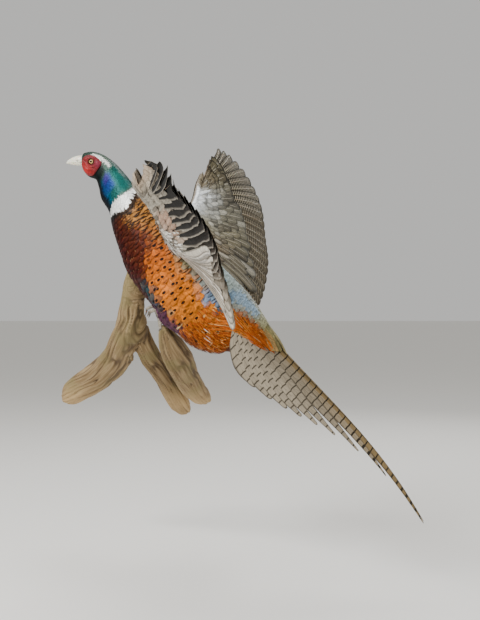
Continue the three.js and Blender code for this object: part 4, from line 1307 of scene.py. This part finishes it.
def make_bill(upper, material):
    """Horn of the bill, with a ridge, a cutting edge and, on the upper half, a nostril under its flap."""
    top, bottom = body_point(0.0, 0.0, 0.0), body_point(0.0, math.pi, 0.0)
    start, tip, above = (top + bottom) / 2, bird(*BILL_TIP, 0), unit(top - bottom)
    around, rings = 44, 46
    turn = np.arange(around) / around * 2 * math.pi
    across, high = np.sin(turn), np.cos(turn)
    shapes, dark = [], []
    for t in np.linspace(BILL_KEYS[0], 1.0 if upper else 0.9, rings):
        culmen, mouth, gonys, half = (np.interp(t, BILL_KEYS, keys) for keys in (CULMEN, MOUTH, GONYS, HALF_WIDTH))
        if not upper:
            half = half * 0.9 * (1 - smooth(0.7, 0.95, t) * 0.6)
        reach = culmen - mouth if upper else mouth - gonys
        outer = np.abs(high) ** (1.25 if upper else 1.0) * reach
        face = high if upper else -high
        rise = np.where(face > 0, outer, -0.35 * np.abs(high)) * (1 if upper else -1)
        out = half * np.sign(across) * np.abs(across) ** (0.9 if upper else 0.8)
        # the Dark layer: darker towards the base, and on the upper half painted shade inside the nostril
        shade = 0.25 * (1 - smooth(-0.05, 0.2, t)) + np.zeros(around)
        if upper:
            out = out * (1 + 0.05 * np.exp(-((high - 0.1) / 0.12) ** 2))
            for flank in (1, -1):
                beside = smooth(0.1, 0.5, across * flank)
                flap = np.exp(-((t - 0.20) / 0.10) ** 2 - ((high - 0.50) / 0.16) ** 2)
                hole = np.exp(-((t - 0.25) / 0.085) ** 2 - ((high - 0.26) / 0.11) ** 2)
                out = out + flank * beside * (0.7 * flap - 1.9 * hole)
                # painted shade inside the nostril's hole
                shade = shade + beside * smooth(0.35, 0.8, hole)
        centre = start + (tip - start) * t + above * mouth
        shapes.append(centre + LEFT * out[:, None] + above * rise[:, None])
        dark.append(shade)
    mesh = mesh_of(loft(np.array(shapes), Dark=dark), "bill")
    name = "bill_upper" if upper else "bill_lower"
    return settle(f"{name}_horn", mesh, material, [name])


# ---------------------------------------------------------------- legs
HOCK, ANKLE = (-81, -12, 34), (-22, -44, 36)
SCUTE_MM = 3.1                                     # spacing of the scutes along a shank or a toe
PAD_MM = 4.2                                       # spacing of the pads below it
TOES = [
    [(8, 6, 2), (22, 8, 3), (27, -4, 2), (20, -15, 0)],
    [(7, 5, -3), (17, 3, -9), (20, -8, -10), (14, -16, -10)],
    [(6, 6, 6), (15, 8, 12), (20, 0, 14), (16, -10, 13)],
    [(-6, -4, 0), (-13, -9, -1), (-14, -15, -1)],
]


def tube(path, radius, rings, around, scales=0.0, pads=0.0):
    """Rings along a smooth path, with scutes on top and pads below."""
    t = np.linspace(0, 1, rings)
    line = spline(path, t)
    along = unit(np.gradient(line, axis=0))
    beside = unit(np.cross(along, UP))
    above = np.cross(beside, along)
    distance = np.concatenate([[0], np.cumsum(gap(line[1:], line[:-1]))])
    size = ramp(radius, t)[:, None]
    turn = np.arange(around) / around * 2 * math.pi
    step = np.modf(distance / SCUTE_MM)[0][:, None]
    scute = scales * (1 - step) * smooth(0.1, 0.7, np.cos(turn))[None]
    pad = pads * np.abs(np.sin(distance / PAD_MM * math.pi))[:, None] * smooth(0.2, 0.9, -np.cos(turn))[None]
    grow = size + scute + pad
    return (line[:, None] + beside[:, None] * (np.sin(turn)[None] * grow)[..., None]
            + above[:, None] * (np.cos(turn)[None] * grow)[..., None])


def joined(works, name):
    whole = bmesh.new()
    for work in works:
        part = bpy.data.meshes.new("part")
        work.to_mesh(part)
        work.free()
        whole.from_mesh(part)
        bpy.data.meshes.remove(part)
    return mesh_of(whole, name)


def make_leg(name, side, material, claw_material):
    """Shank and toes with overlapping scutes, and separate claws and spur."""
    def at(base, step=(0, 0, 0)):
        return bird(base[0] + step[0], base[1] + step[1], side * (base[2] + step[2]))

    hock, ankle = at(HOCK), at(ANKLE)
    shank = loft(tube([mix(hock, ankle, -0.05), mix(hock, ankle, 0.5), mix(hock, ankle, 1.02)],
                      [6.0, 4.0, 3.9, 4.6], rings=60, around=20, scales=0.45, pads=0.2))
    toes, claws = [], []
    for steps in TOES:
        path = np.array([at(ANKLE, step) for step in ((-2, 0, 0), *steps)])
        toes.append(loft(tube(path[:-1], [3.9, 3.1, 2.7, 2.2], rings=40, around=16, scales=0.45, pads=0.5)))
        middle = mix(path[-2], path[-1], 0.5) + UP * 0.8
        claws.append(loft(tube([path[-2], middle, path[-1]], [2.0, 1.5, 0.3], rings=12, around=12)))
    spur = mix(hock, ankle, 0.62)
    claws.append(loft(tube([spur, spur - UP * 6 - LEFT * side * 2, spur - UP * 11 - LEFT * side * 5],
                           [2.6, 1.7, 0.3], rings=12, around=12)))
    settle(f"shank_{name}_scutes", mesh_of(shank, "shank"), material, [f"shank_{name}"])
    settle(f"foot_{name}_toes", joined(toes, "toes"), material, [f"foot_{name}"])
    settle(f"claws_{name}", joined(claws, "claws"), claw_material)


# ---------------------------------------------------------------- driftwood
WOOD_LINES = {
    "crown": [(-10, -300, 9), (-14, -298, -12), (-20, -280, -55), (-26, -250, -97), (-29, -236, -116)],
    "left": [(-28, -262, -96), (-38, -235, -117), (-62, -175, -156), (-102, -120, -195), (-145, -70, -223),
             (-175, -42, -241), (-186, -34, -247)],
    "middle": [(-8, -240, -98), (-7, -222, -124), (1, -185, -158), (16, -140, -190), (36, -95, -230), (54, -58, -262),
               (62, -46, -274)],
    "right": [(39, -338, -98), (45, -318, -118), (57, -262, -157), (68, -190, -193), (84, -125, -225), (97, -82, -244),
              (103, -68, -250)],
    "stub": [(-14, -292, -34), (-10, -190, -26), (-3, -80, -8), (0, 0, 0)],
}
CROWN_RUN = 122.0                                  # mm along the crown to where the limbs leave it
LIMB_BLEND = 5.0                                   # mm over which one limb's grain gives way to another's
GIRTH = 22.0                                       # mm around a limb for each radian
WOOD_NODES = ["driftwood_crown", "driftwood_left_limb", "driftwood_middle_limb", "driftwood_right_limb",
              "driftwood_wall_stub"]


def lattice(points, seed):
    """Smooth noise from 0 to 1 on a hashed lattice."""
    cell = np.floor(points)
    part = points - cell
    part = part * part * (3 - 2 * part)
    total = np.zeros(len(points))
    for corner in range(8):
        step = np.array([corner & 1, corner >> 1 & 1, corner >> 2 & 1])
        at = cell + step
        value = np.modf(np.abs(np.sin(at @ np.array([127.1, 311.7, 74.7]) + seed * 17.3) * 43758.5453))[0]
        weight = np.prod(np.where(step, part, 1 - part), axis=1)
        total += value * weight
    return total


def along_limbs(at):
    """The grain's own coordinates: a turn about the nearest limbs and mm along them, blended where they meet."""
    spots, gaps = [], []
    for name, keys in WOOD_LINES.items():
        line = spline(keys, np.linspace(0, 1, 120))
        run = np.concatenate([[0], np.cumsum(gap(line[1:], line[:-1]))])
        reach = gap(at[:, None], line[None])
        near = reach.argmin(axis=1)
        gaps.append(reach.min(axis=1))
        tangent = unit(np.gradient(line, axis=0))[near]
        away = at - line[near]
        away = unit(away - tangent * (away * tangent).sum(-1, keepdims=True))
        beside = unit(np.cross(tangent, np.array([0, 1.0, 0])))
        above = np.cross(beside, tangent)
        offset = 0.0 if name in ("crown", "stub") else CROWN_RUN
        spots.append(np.stack([(away * beside).sum(-1), (away * above).sum(-1), run[near] + offset], axis=-1))
    gaps = np.array(gaps)
    weight = np.exp(-(gaps - gaps.min(axis=0)) / LIMB_BLEND)[..., None]
    return (np.array(spots) * weight).sum(axis=0) / weight.sum(axis=0)


def make_driftwood(material):
    """Weathered wood: long grooves and ridges worn along the grain, and rounded ends; its cracks are only dark lines
    that its material paints as shade.
    """
    mesh = fused(WOOD_NODES, voxel=1.9)
    relax(mesh, times=6)
    at = places_of(mesh)
    limbs = along_limbs(at)
    along = limbs[:, 2]
    twist = 0.25 * np.sin(along / 60.0)
    ring = np.stack([limbs[:, 0] * np.cos(twist) - limbs[:, 1] * np.sin(twist),
                     limbs[:, 0] * np.sin(twist) + limbs[:, 1] * np.cos(twist)], -1) * GIRTH

    def streak(across_mm, along_mm, seed):
        return lattice(np.concatenate([ring / across_mm, along[:, None] / along_mm], axis=1), seed)
    broad = streak(14, 120, 1) - 0.5
    groove = 1 - np.abs(streak(5.5, 85, 2) * 2 - 1)
    fine = 1 - np.abs(streak(2.6, 50, 3) * 2 - 1)
    height = 7.0 * broad - 3.4 * groove ** 4 - 0.7 * fine ** 2 + 1.6
    ends = (1 - smooth(-14, -2, at[:, 1])) * (1 - 0.75 * smooth(-80, -45, at[:, 2]))
    bleached = smooth(-205, -258, at[:, 2])
    at = at + read(mesh, "normal") * (height * ends)[:, None]
    put_places(mesh, at)
    relax(mesh, times=1, strength=0.3)
    paint(mesh, "Grain", "FLOAT_VECTOR", np.concatenate([ring, along[:, None]], axis=1))
    # first channel: painted shade, darkest where the grooves sink deepest; second: the grooves; third: the paler lower
    # ends
    paint(mesh, "Groove_shade_and_bleach", "FLOAT_COLOR", np.stack([groove ** 4 * 0.8 + fine ** 2 * 0.2, groove, bleached], axis=1))
    return settle("driftwood_grain", mesh, material, WOOD_NODES)


def skin_material():
    """Dried bird skin: dull and thin, tinted as a darker copy of the feathers that hide it: painted shade where it
    shows between them.
    """
    node, finish = new_material("dried skin", Roughness=0.8)
    mottle = node("TexNoise", Vector=node("TexCoord", give="Object"), Scale=400.0)
    return finish(node("VectorMath", node("Attribute", attribute_name="Base", give="Color"),
                       Scale=node("GRADE", mottle, 0.3, 0.7, 0.6, 1.0), operation="SCALE"))


def wattle_material():
    """Bare papillate skin, painted as taxidermists do: waxy scarlet, with painted shade between its grains."""
    node, finish = new_material("waxy scarlet wattle", Roughness=0.55, Specular_IOR_Level=0.35,
                                          Subsurface_Weight=0.10, Subsurface_Scale=0.002)
    place = node("TexCoord", give="Object")
    grains = node("TexVoronoi", Vector=place, Scale=900.0, give="Distance")
    patches = node("TexNoise", Vector=place, Scale=160.0, Detail=4.0)
    colour = node("VectorMath", node("Attribute", attribute_name="Base", give="Color"),
                  Scale=node("GRADE", patches, 0.3, 0.7, 0.75, 1.15), operation="SCALE")
    # painted shade between the grains
    colour = node("MIX", node("GRADE", grains, 0.3, 0.75, 0.0, 0.5), colour, "#4e0709")
    return finish(colour, grains, 0.0003, invert=True)


def horn_material(name, light, dark):
    """Keratin horn: faintly see-through, with growth lines along it."""
    node, finish = new_material(name, Roughness=0.34, Subsurface_Weight=0.15, Subsurface_Scale=0.002,
                                          Coat_Weight=0.2, Coat_Roughness=0.25)
    grain = node("Mapping", Vector=node("TexCoord", give="Object"), Scale=(120.0, 900.0, 500.0))
    streaks = node("TexNoise", Vector=grain, Scale=1.0, Detail=4.0)
    colour = node("MIX", node("GRADE", streaks, 0.35, 0.75), light, dark)
    # the bill's Dark layer: darker towards its base, and painted shade in its nostril
    colour = node("MIX", node("Attribute", attribute_name="Dark", give="Fac"), colour, "#3a2f24")
    return finish(colour, streaks, 0.0002)


def eye_material(light, dark):
    """A blown glass eye: painted amber and cream iris, black pupil, and a clear wet gloss."""
    node, finish = new_material("glass eye", Roughness=0.12, Coat_Weight=0.35, Coat_Roughness=0.02,
                                          IOR=1.4, Specular_IOR_Level=0.3)
    angle = node("Attribute", attribute_name="Look", give="Fac")      # degrees from the way the eye looks
    rays = node("TexNoise", Vector=node("TexCoord", give="Object"), Scale=900.0, Detail=3.0)
    iris = node("MIX", node("GRADE", angle, 40.0, 46.0), node("MIX", rays, dark, light), "#1c0c06")
    return finish(node("MIX", node("GRADE", angle, 24.0, 21.5), iris, "#050404"))


def scute_material(light, dark):
    """Dry horny scutes of a bird's leg: grey buff, dull, darker where they overlap."""
    node, finish = new_material("grey leg scutes", Roughness=0.5)
    place = node("TexCoord", give="Object")
    cells = node("TexVoronoi", Vector=place, Scale=550.0, give="Distance")
    tone = node("TexNoise", Vector=place, Scale=90.0, Detail=4.0)
    colour = node("MIX", node("GRADE", tone, 0.3, 0.7), dark, light)
    colour = node("MIX", node("GRADE", cells, 0.35, 0.7, 0.0, 0.6), colour, "#4c453b")
    return finish(colour, cells, 0.0004, invert=True)


def wood_material(light, dark):
    """Sun-bleached driftwood: tan ridges, brown grooves darkened with painted shade, dark crack lines that are painted
    shade, an olive bloom and pale worn ends.
    """
    node, finish = new_material("bleached driftwood", Roughness=0.78, Specular_IOR_Level=0.3)
    grain = node("Attribute", attribute_name="Grain", give="Vector")
    worn = node("SeparateColor", node("Attribute", attribute_name="Groove_shade_and_bleach", give="Color"), give=None)

    def fibre(across, along, detail=4.0):
        stretched = node("Mapping", Vector=grain, Scale=(1 / across, 1 / across, 1 / along))
        return node("TexNoise", Vector=stretched, Scale=1.0, Detail=detail, Roughness=0.65)

    coarse, fine, cracks = fibre(4.0, 70.0), fibre(1.1, 40.0, 5.0), fibre(3.0, 200.0, 1.0)
    patches = node("TexNoise", Vector=node("TexCoord", give="Object"), Scale=22.0, Detail=4.0)
    colour = dark
    # the grooves get painted shade in #3f2d1c; the grain and the olive bloom are the wood's own
    for where, low, high, strength, shade in ((coarse, 0.3, 0.7, 1.0, light), (fine, 0.35, 0.75, 0.35, "#604828"),
                                              (worn[0], 0.3, 0.8, 0.75, "#3f2d1c"),
                                              (patches, 0.46, 0.68, 0.6, "#7c7048")):
        colour = node("MIX", node("GRADE", where, low, high, 0.0, strength), colour, shade)
    bleached = node("MULTIPLY", worn[2], node("GRADE", patches, 0.3, 0.6, 0.35, 0.75))
    colour = node("MIX", bleached, colour, "#bc9d70")
    # painted shade: thin dark lines along the grain that stand for the shade inside cracks
    colour = node("MIX", node("GRADE", cracks, 0.62, 0.8, 0.0, 0.45), colour, "#352416")
    return finish(colour, node("ADD", coarse, node("MULTIPLY", fine, 0.7)), 0.0012, 0.6)


# ---------------------------------------------------------------- studio
CAMERA_AT = (0.169, -1.940, -0.070)
AIM = Vector((0.14, -0.38, -0.10))                 # what the lights point at
FLOOR_HALF = 40.0
LIGHTS = {                                         # place, size in metres, watts
    "key": ((-1.3, -1.9, 1.5), 0.8, 92), "fill": ((1.9, -1.6, 0.5), 1.4, 9),
    "top": ((0.1, 0.3, 2.2), 1.3, 26), "back": ((1.2, 1.9, 1.0), 1.0, 12),
}
WORLD_STRENGTH = 0.66


def make_stage(settings):
    """Matt studio paper for a floor, with soft lights, an even world and the camera."""
    work = bmesh.new()
    bmesh.ops.create_grid(work, x_segments=1, y_segments=1, size=FLOOR_HALF)
    bmesh.ops.translate(work, verts=work.verts, vec=(0, 0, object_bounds()[0][2] - settings.floor_drop))
    floor = new_object("studio_floor", mesh_of(work, "studio_floor"))
    _, finish = new_material("matt studio paper", Roughness=0.9)
    floor.data.materials.append(finish(settings.floor_colour))
    floor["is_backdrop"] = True
    for name, (place, size, power) in LIGHTS.items():
        light = bpy.data.lights.new(name, "AREA")
        light.energy, light.size = power * settings.light, size
        lamp = new_object(name, light)
        lamp.location = place
        lamp.rotation_euler = (AIM - Vector(place)).to_track_quat("-Z", "Y").to_euler()
    world = bpy.data.worlds.new("studio")
    world.use_nodes = True
    wire(world.node_tree.nodes["Background"], {0: "#f2f1ee", 1: WORLD_STRENGTH * settings.light})
    bpy.context.scene.world = world
    camera = bpy.data.cameras.new("camera")
    camera.lens, camera.sensor_width = settings.lens, 36.0
    view = new_object("camera", camera)
    view.location, view.rotation_euler = CAMERA_AT, (math.pi / 2, 0, 0)
    bpy.context.scene.camera = view


# ---------------------------------------------------------------- the add-on
def colour_setting(name, shade, description):
    return FloatVectorProperty(name=name, description=description, default=linear(shade), subtype="COLOR", size=3,
                               min=0.0, max=1.0)


class PheasantSettings(bpy.types.PropertyGroup):
    """The sizes and colours that a user would change"""
    seed: IntProperty(name="Seed", description="Chooses the feathers' small unevenness", default=7, min=0)
    light: FloatProperty(name="Light", description="Strength of the studio light", default=1.0, min=0.1, max=4.0,
                         subtype="FACTOR")
    lens: FloatProperty(name="Lens", description="Focal length of the camera", default=54.65, min=10.0, max=300.0,
                        unit="CAMERA")
    floor_drop: FloatProperty(name="Floor drop", description="How far the floor lies below the mount", default=0.13,
                              min=0.0, unit="LENGTH")
    tail_bars: FloatProperty(name="Tail bars", description="Spacing of the dark bars along the tail", default=0.014,
                             min=0.004, unit="LENGTH")
    wing_bars: FloatProperty(name="Wing bars", description="Spacing of the pale bars across the flight feathers",
                             default=0.0068, min=0.003, unit="LENGTH")
    floor_colour: colour_setting("Floor", "#e9e7e2", "Colour of the studio paper")
    bill: colour_setting("Bill", "#e6e2d0", "Colour of the bill's horn")
    bill_lines: colour_setting("Bill lines", "#cfc8ae", "Colour of the growth lines in the bill")
    iris: colour_setting("Iris", "#e6cf8a", "Colour of the rays in the iris")
    iris_ground: colour_setting("Iris ground", "#a87a2a", "Colour of the iris between its rays")
    legs: colour_setting("Legs", "#b5ab97", "Colour of the scutes' pale patches")
    legs_dark: colour_setting("Legs, dark", "#857c6c", "Colour of the scutes' dark patches")
    wood: colour_setting("Wood", "#a38c68", "Colour of the driftwood's ridges")
    wood_dark: colour_setting("Wood, dark", "#77603f", "Colour of the driftwood between its ridges")


def draws(context, step):
    """Random numbers for one step, the same for the same seed."""
    return np.random.default_rng(context.scene.pheasant.seed + step)


class PHEASANT_OT_stage(bpy.types.Operator):
    """Makes the floor, the soft lights and the camera"""
    bl_idname = "pheasant.stage"
    bl_label = "Studio"
    bl_options = {"REGISTER", "UNDO"}

    def execute(self, context):
        make_stage(context.scene.pheasant)
        return {"FINISHED"}


class PHEASANT_OT_driftwood(bpy.types.Operator):
    """Makes the weathered driftwood from its limbs"""
    bl_idname = "pheasant.driftwood"
    bl_label = "Driftwood"
    bl_options = {"REGISTER", "UNDO"}

    def execute(self, context):
        settings = context.scene.pheasant
        make_driftwood(wood_material(settings.wood, settings.wood_dark))
        return {"FINISHED"}


class PHEASANT_OT_skin(bpy.types.Operator):
    """Makes the one skin that lies under all the feathers"""
    bl_idname = "pheasant.skin"
    bl_label = "Skin"
    bl_options = {"REGISTER", "UNDO"}

    def execute(self, context):
        make_skin(skin_material())
        return {"FINISHED"}


class PHEASANT_OT_body(bpy.types.Operator):
    """Lays the small feathers over head, neck and trunk"""
    bl_idname = "pheasant.body_coat"
    bl_label = "Body coat"
    bl_options = {"REGISTER", "UNDO"}

    def execute(self, context):
        rng = draws(context, step=3)
        gloss = feather_material("iridescent neck feathers", barb_mm=0.9, streaks=0.3, edge_mm=1.2,
                                 painted_rim_shadow=0.05, Roughness=0.42, Specular_IOR_Level=0.18, Metallic=0.25)
        contour = feather_material("copper body feathers", spot=(3.6, 3.0, 2.1), edge_mm=3.0,
                                   shaft=("#f0c488", 0.06, 0.3), Roughness=0.52, Specular_IOR_Level=0.1)
        loose = feather_material("loose rump feathers", barb_mm=1.0, streaks=0.7, edge_mm=6.0, Roughness=0.62,
                                 Specular_IOR_Level=0.08, Sheen_Weight=0.04, Sheen_Roughness=0.5)
        plumage("head_coat", [], gloss, coat_head(rng))
        plumage("neck_coat", [], gloss, coat_neck(rng))
        plumage("back_coat", [], contour, coat_trunk(rng, 0.0, math.pi / 2))
        plumage("underside_coat", [], contour, coat_trunk(rng, math.pi / 2, 4))
        plumage("vent_coat", [], loose, coat_vent(rng))
        plumage("tail_coverts", [], loose, coat_rear(rng))
        return {"FINISHED"}


class PHEASANT_OT_wings(bpy.types.Operator):
    """Builds both wings: flight feathers, their quills and the coverts of both faces"""
    bl_idname = "pheasant.wings"
    bl_label = "Wings"
    bl_options = {"REGISTER", "UNDO"}

    def execute(self, context):
        settings = context.scene.pheasant
        rng = draws(context, step=4)
        flight = feather_material("barred flight feathers", bars=(settings.wing_bars / MM, 0.19, 0.3, 0.97, 0.0),
                                  block=0.6, margin=0.82, Roughness=0.62, Specular_IOR_Level=0.05)
        covert = feather_material("silver grey coverts", streaks=0.5, margin=0.55, shaft=("#e4dcc8", 0.045, 0.5),
                                  Roughness=0.58, Specular_IOR_Level=0.1, Sheen_Weight=0.03, Sheen_Roughness=0.4)
        shaft = horn_material("pale quill", "#a89b7e", "#6d6149")
        for name in WINGS:
            wing = Wing(name)
            plumage(f"wing_{name}_flight", [f"wing_{name}_primaries", f"wing_{name}_secondaries"],
                    flight, flight_feathers(wing, rng))
            quill_ribs(f"wing_{name}_quills", wing, shaft)
            plumage(f"wing_{name}_upper_coverts", [], covert, coverts(wing, rng, 1))
            plumage(f"wing_{name}_under_coverts", [], covert, coverts(wing, rng, -1))
            plumage(f"wing_{name}_down", [], covert, armpit(wing, rng))
        return {"FINISHED"}


class PHEASANT_OT_tail(bpy.types.Operator):
    """Builds the long barred tail"""
    bl_idname = "pheasant.tail"
    bl_label = "Tail"
    bl_options = {"REGISTER", "UNDO"}

    def execute(self, context):
        settings = context.scene.pheasant
        rng = draws(context, step=5)
        barred = feather_material("barred tail feathers", barb_mm=1.4, streaks=0.3,
                                  bars=(settings.tail_bars / MM, 0.085, 0.12, 0.97, 0.16), block=0.72, painted_rim_shadow=0.7,
                                  shaft=("#5d5240", 0.05, 0.6), Roughness=0.52, Specular_IOR_Level=0.12,
                                  Sheen_Weight=0.02, Sheen_Roughness=0.4)
        for name, side in SIDES.items():
            plumage(f"tail_{name}_vanes", [f"tail_{name}"], barred, tail_feathers(side, rng))
        return {"FINISHED"}


class PHEASANT_OT_head(bpy.types.Operator):
    """Makes the bill, glass eyes and red face skin"""
    bl_idname = "pheasant.head"
    bl_label = "Head"
    bl_options = {"REGISTER", "UNDO"}

    def execute(self, context):
        settings = context.scene.pheasant
        ivory = horn_material("ivory bill horn", settings.bill, settings.bill_lines)
        for upper in (True, False):
            make_bill(upper, ivory)
        red, glass = wattle_material(), eye_material(settings.iris, settings.iris_ground)
        for name, side in SIDES.items():
            make_wattle(name, side, red)
            make_eye(name, side, glass)
        return {"FINISHED"}


class PHEASANT_OT_legs(bpy.types.Operator):
    """Makes the scaled shanks and toes with claws and spurs"""
    bl_idname = "pheasant.legs"
    bl_label = "Legs"
    bl_options = {"REGISTER", "UNDO"}

    def execute(self, context):
        settings = context.scene.pheasant
        scutes = scute_material(settings.legs, settings.legs_dark)
        claw = horn_material("dark claw horn", "#5b5145", "#2d2620")
        for name, side in SIDES.items():
            make_leg(name, side, scutes, claw)
        return {"FINISHED"}


STEPS = (PHEASANT_OT_stage, PHEASANT_OT_driftwood, PHEASANT_OT_skin, PHEASANT_OT_body, PHEASANT_OT_wings,
         PHEASANT_OT_tail, PHEASANT_OT_head, PHEASANT_OT_legs)


class PHEASANT_PT_panel(bpy.types.Panel):
    """Lists the steps that build the mount"""
    bl_label = "Mounted pheasant"
    bl_idname = "PHEASANT_PT_panel"
    bl_space_type = "VIEW_3D"
    bl_region_type = "UI"
    bl_category = "Pheasant"

    def draw(self, context):
        settings = context.scene.pheasant
        for name in PheasantSettings.__annotations__:
            self.layout.prop(settings, name)
        for step in STEPS:
            self.layout.operator(step.bl_idname)


CLASSES = (PheasantSettings, *STEPS, PHEASANT_PT_panel)


def register():
    for made in CLASSES:
        bpy.utils.register_class(made)
    bpy.types.Scene.pheasant = bpy.props.PointerProperty(type=PheasantSettings)


def unregister():
    del bpy.types.Scene.pheasant
    for made in reversed(CLASSES):
        bpy.utils.unregister_class(made)


def main():
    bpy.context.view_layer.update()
    register()
    for step in STEPS:
        group, name = step.bl_idname.split(".")
        getattr(getattr(bpy.ops, group), name)()
    bpy.context.view_layer.update()


if __name__ == "__main__":
    main()
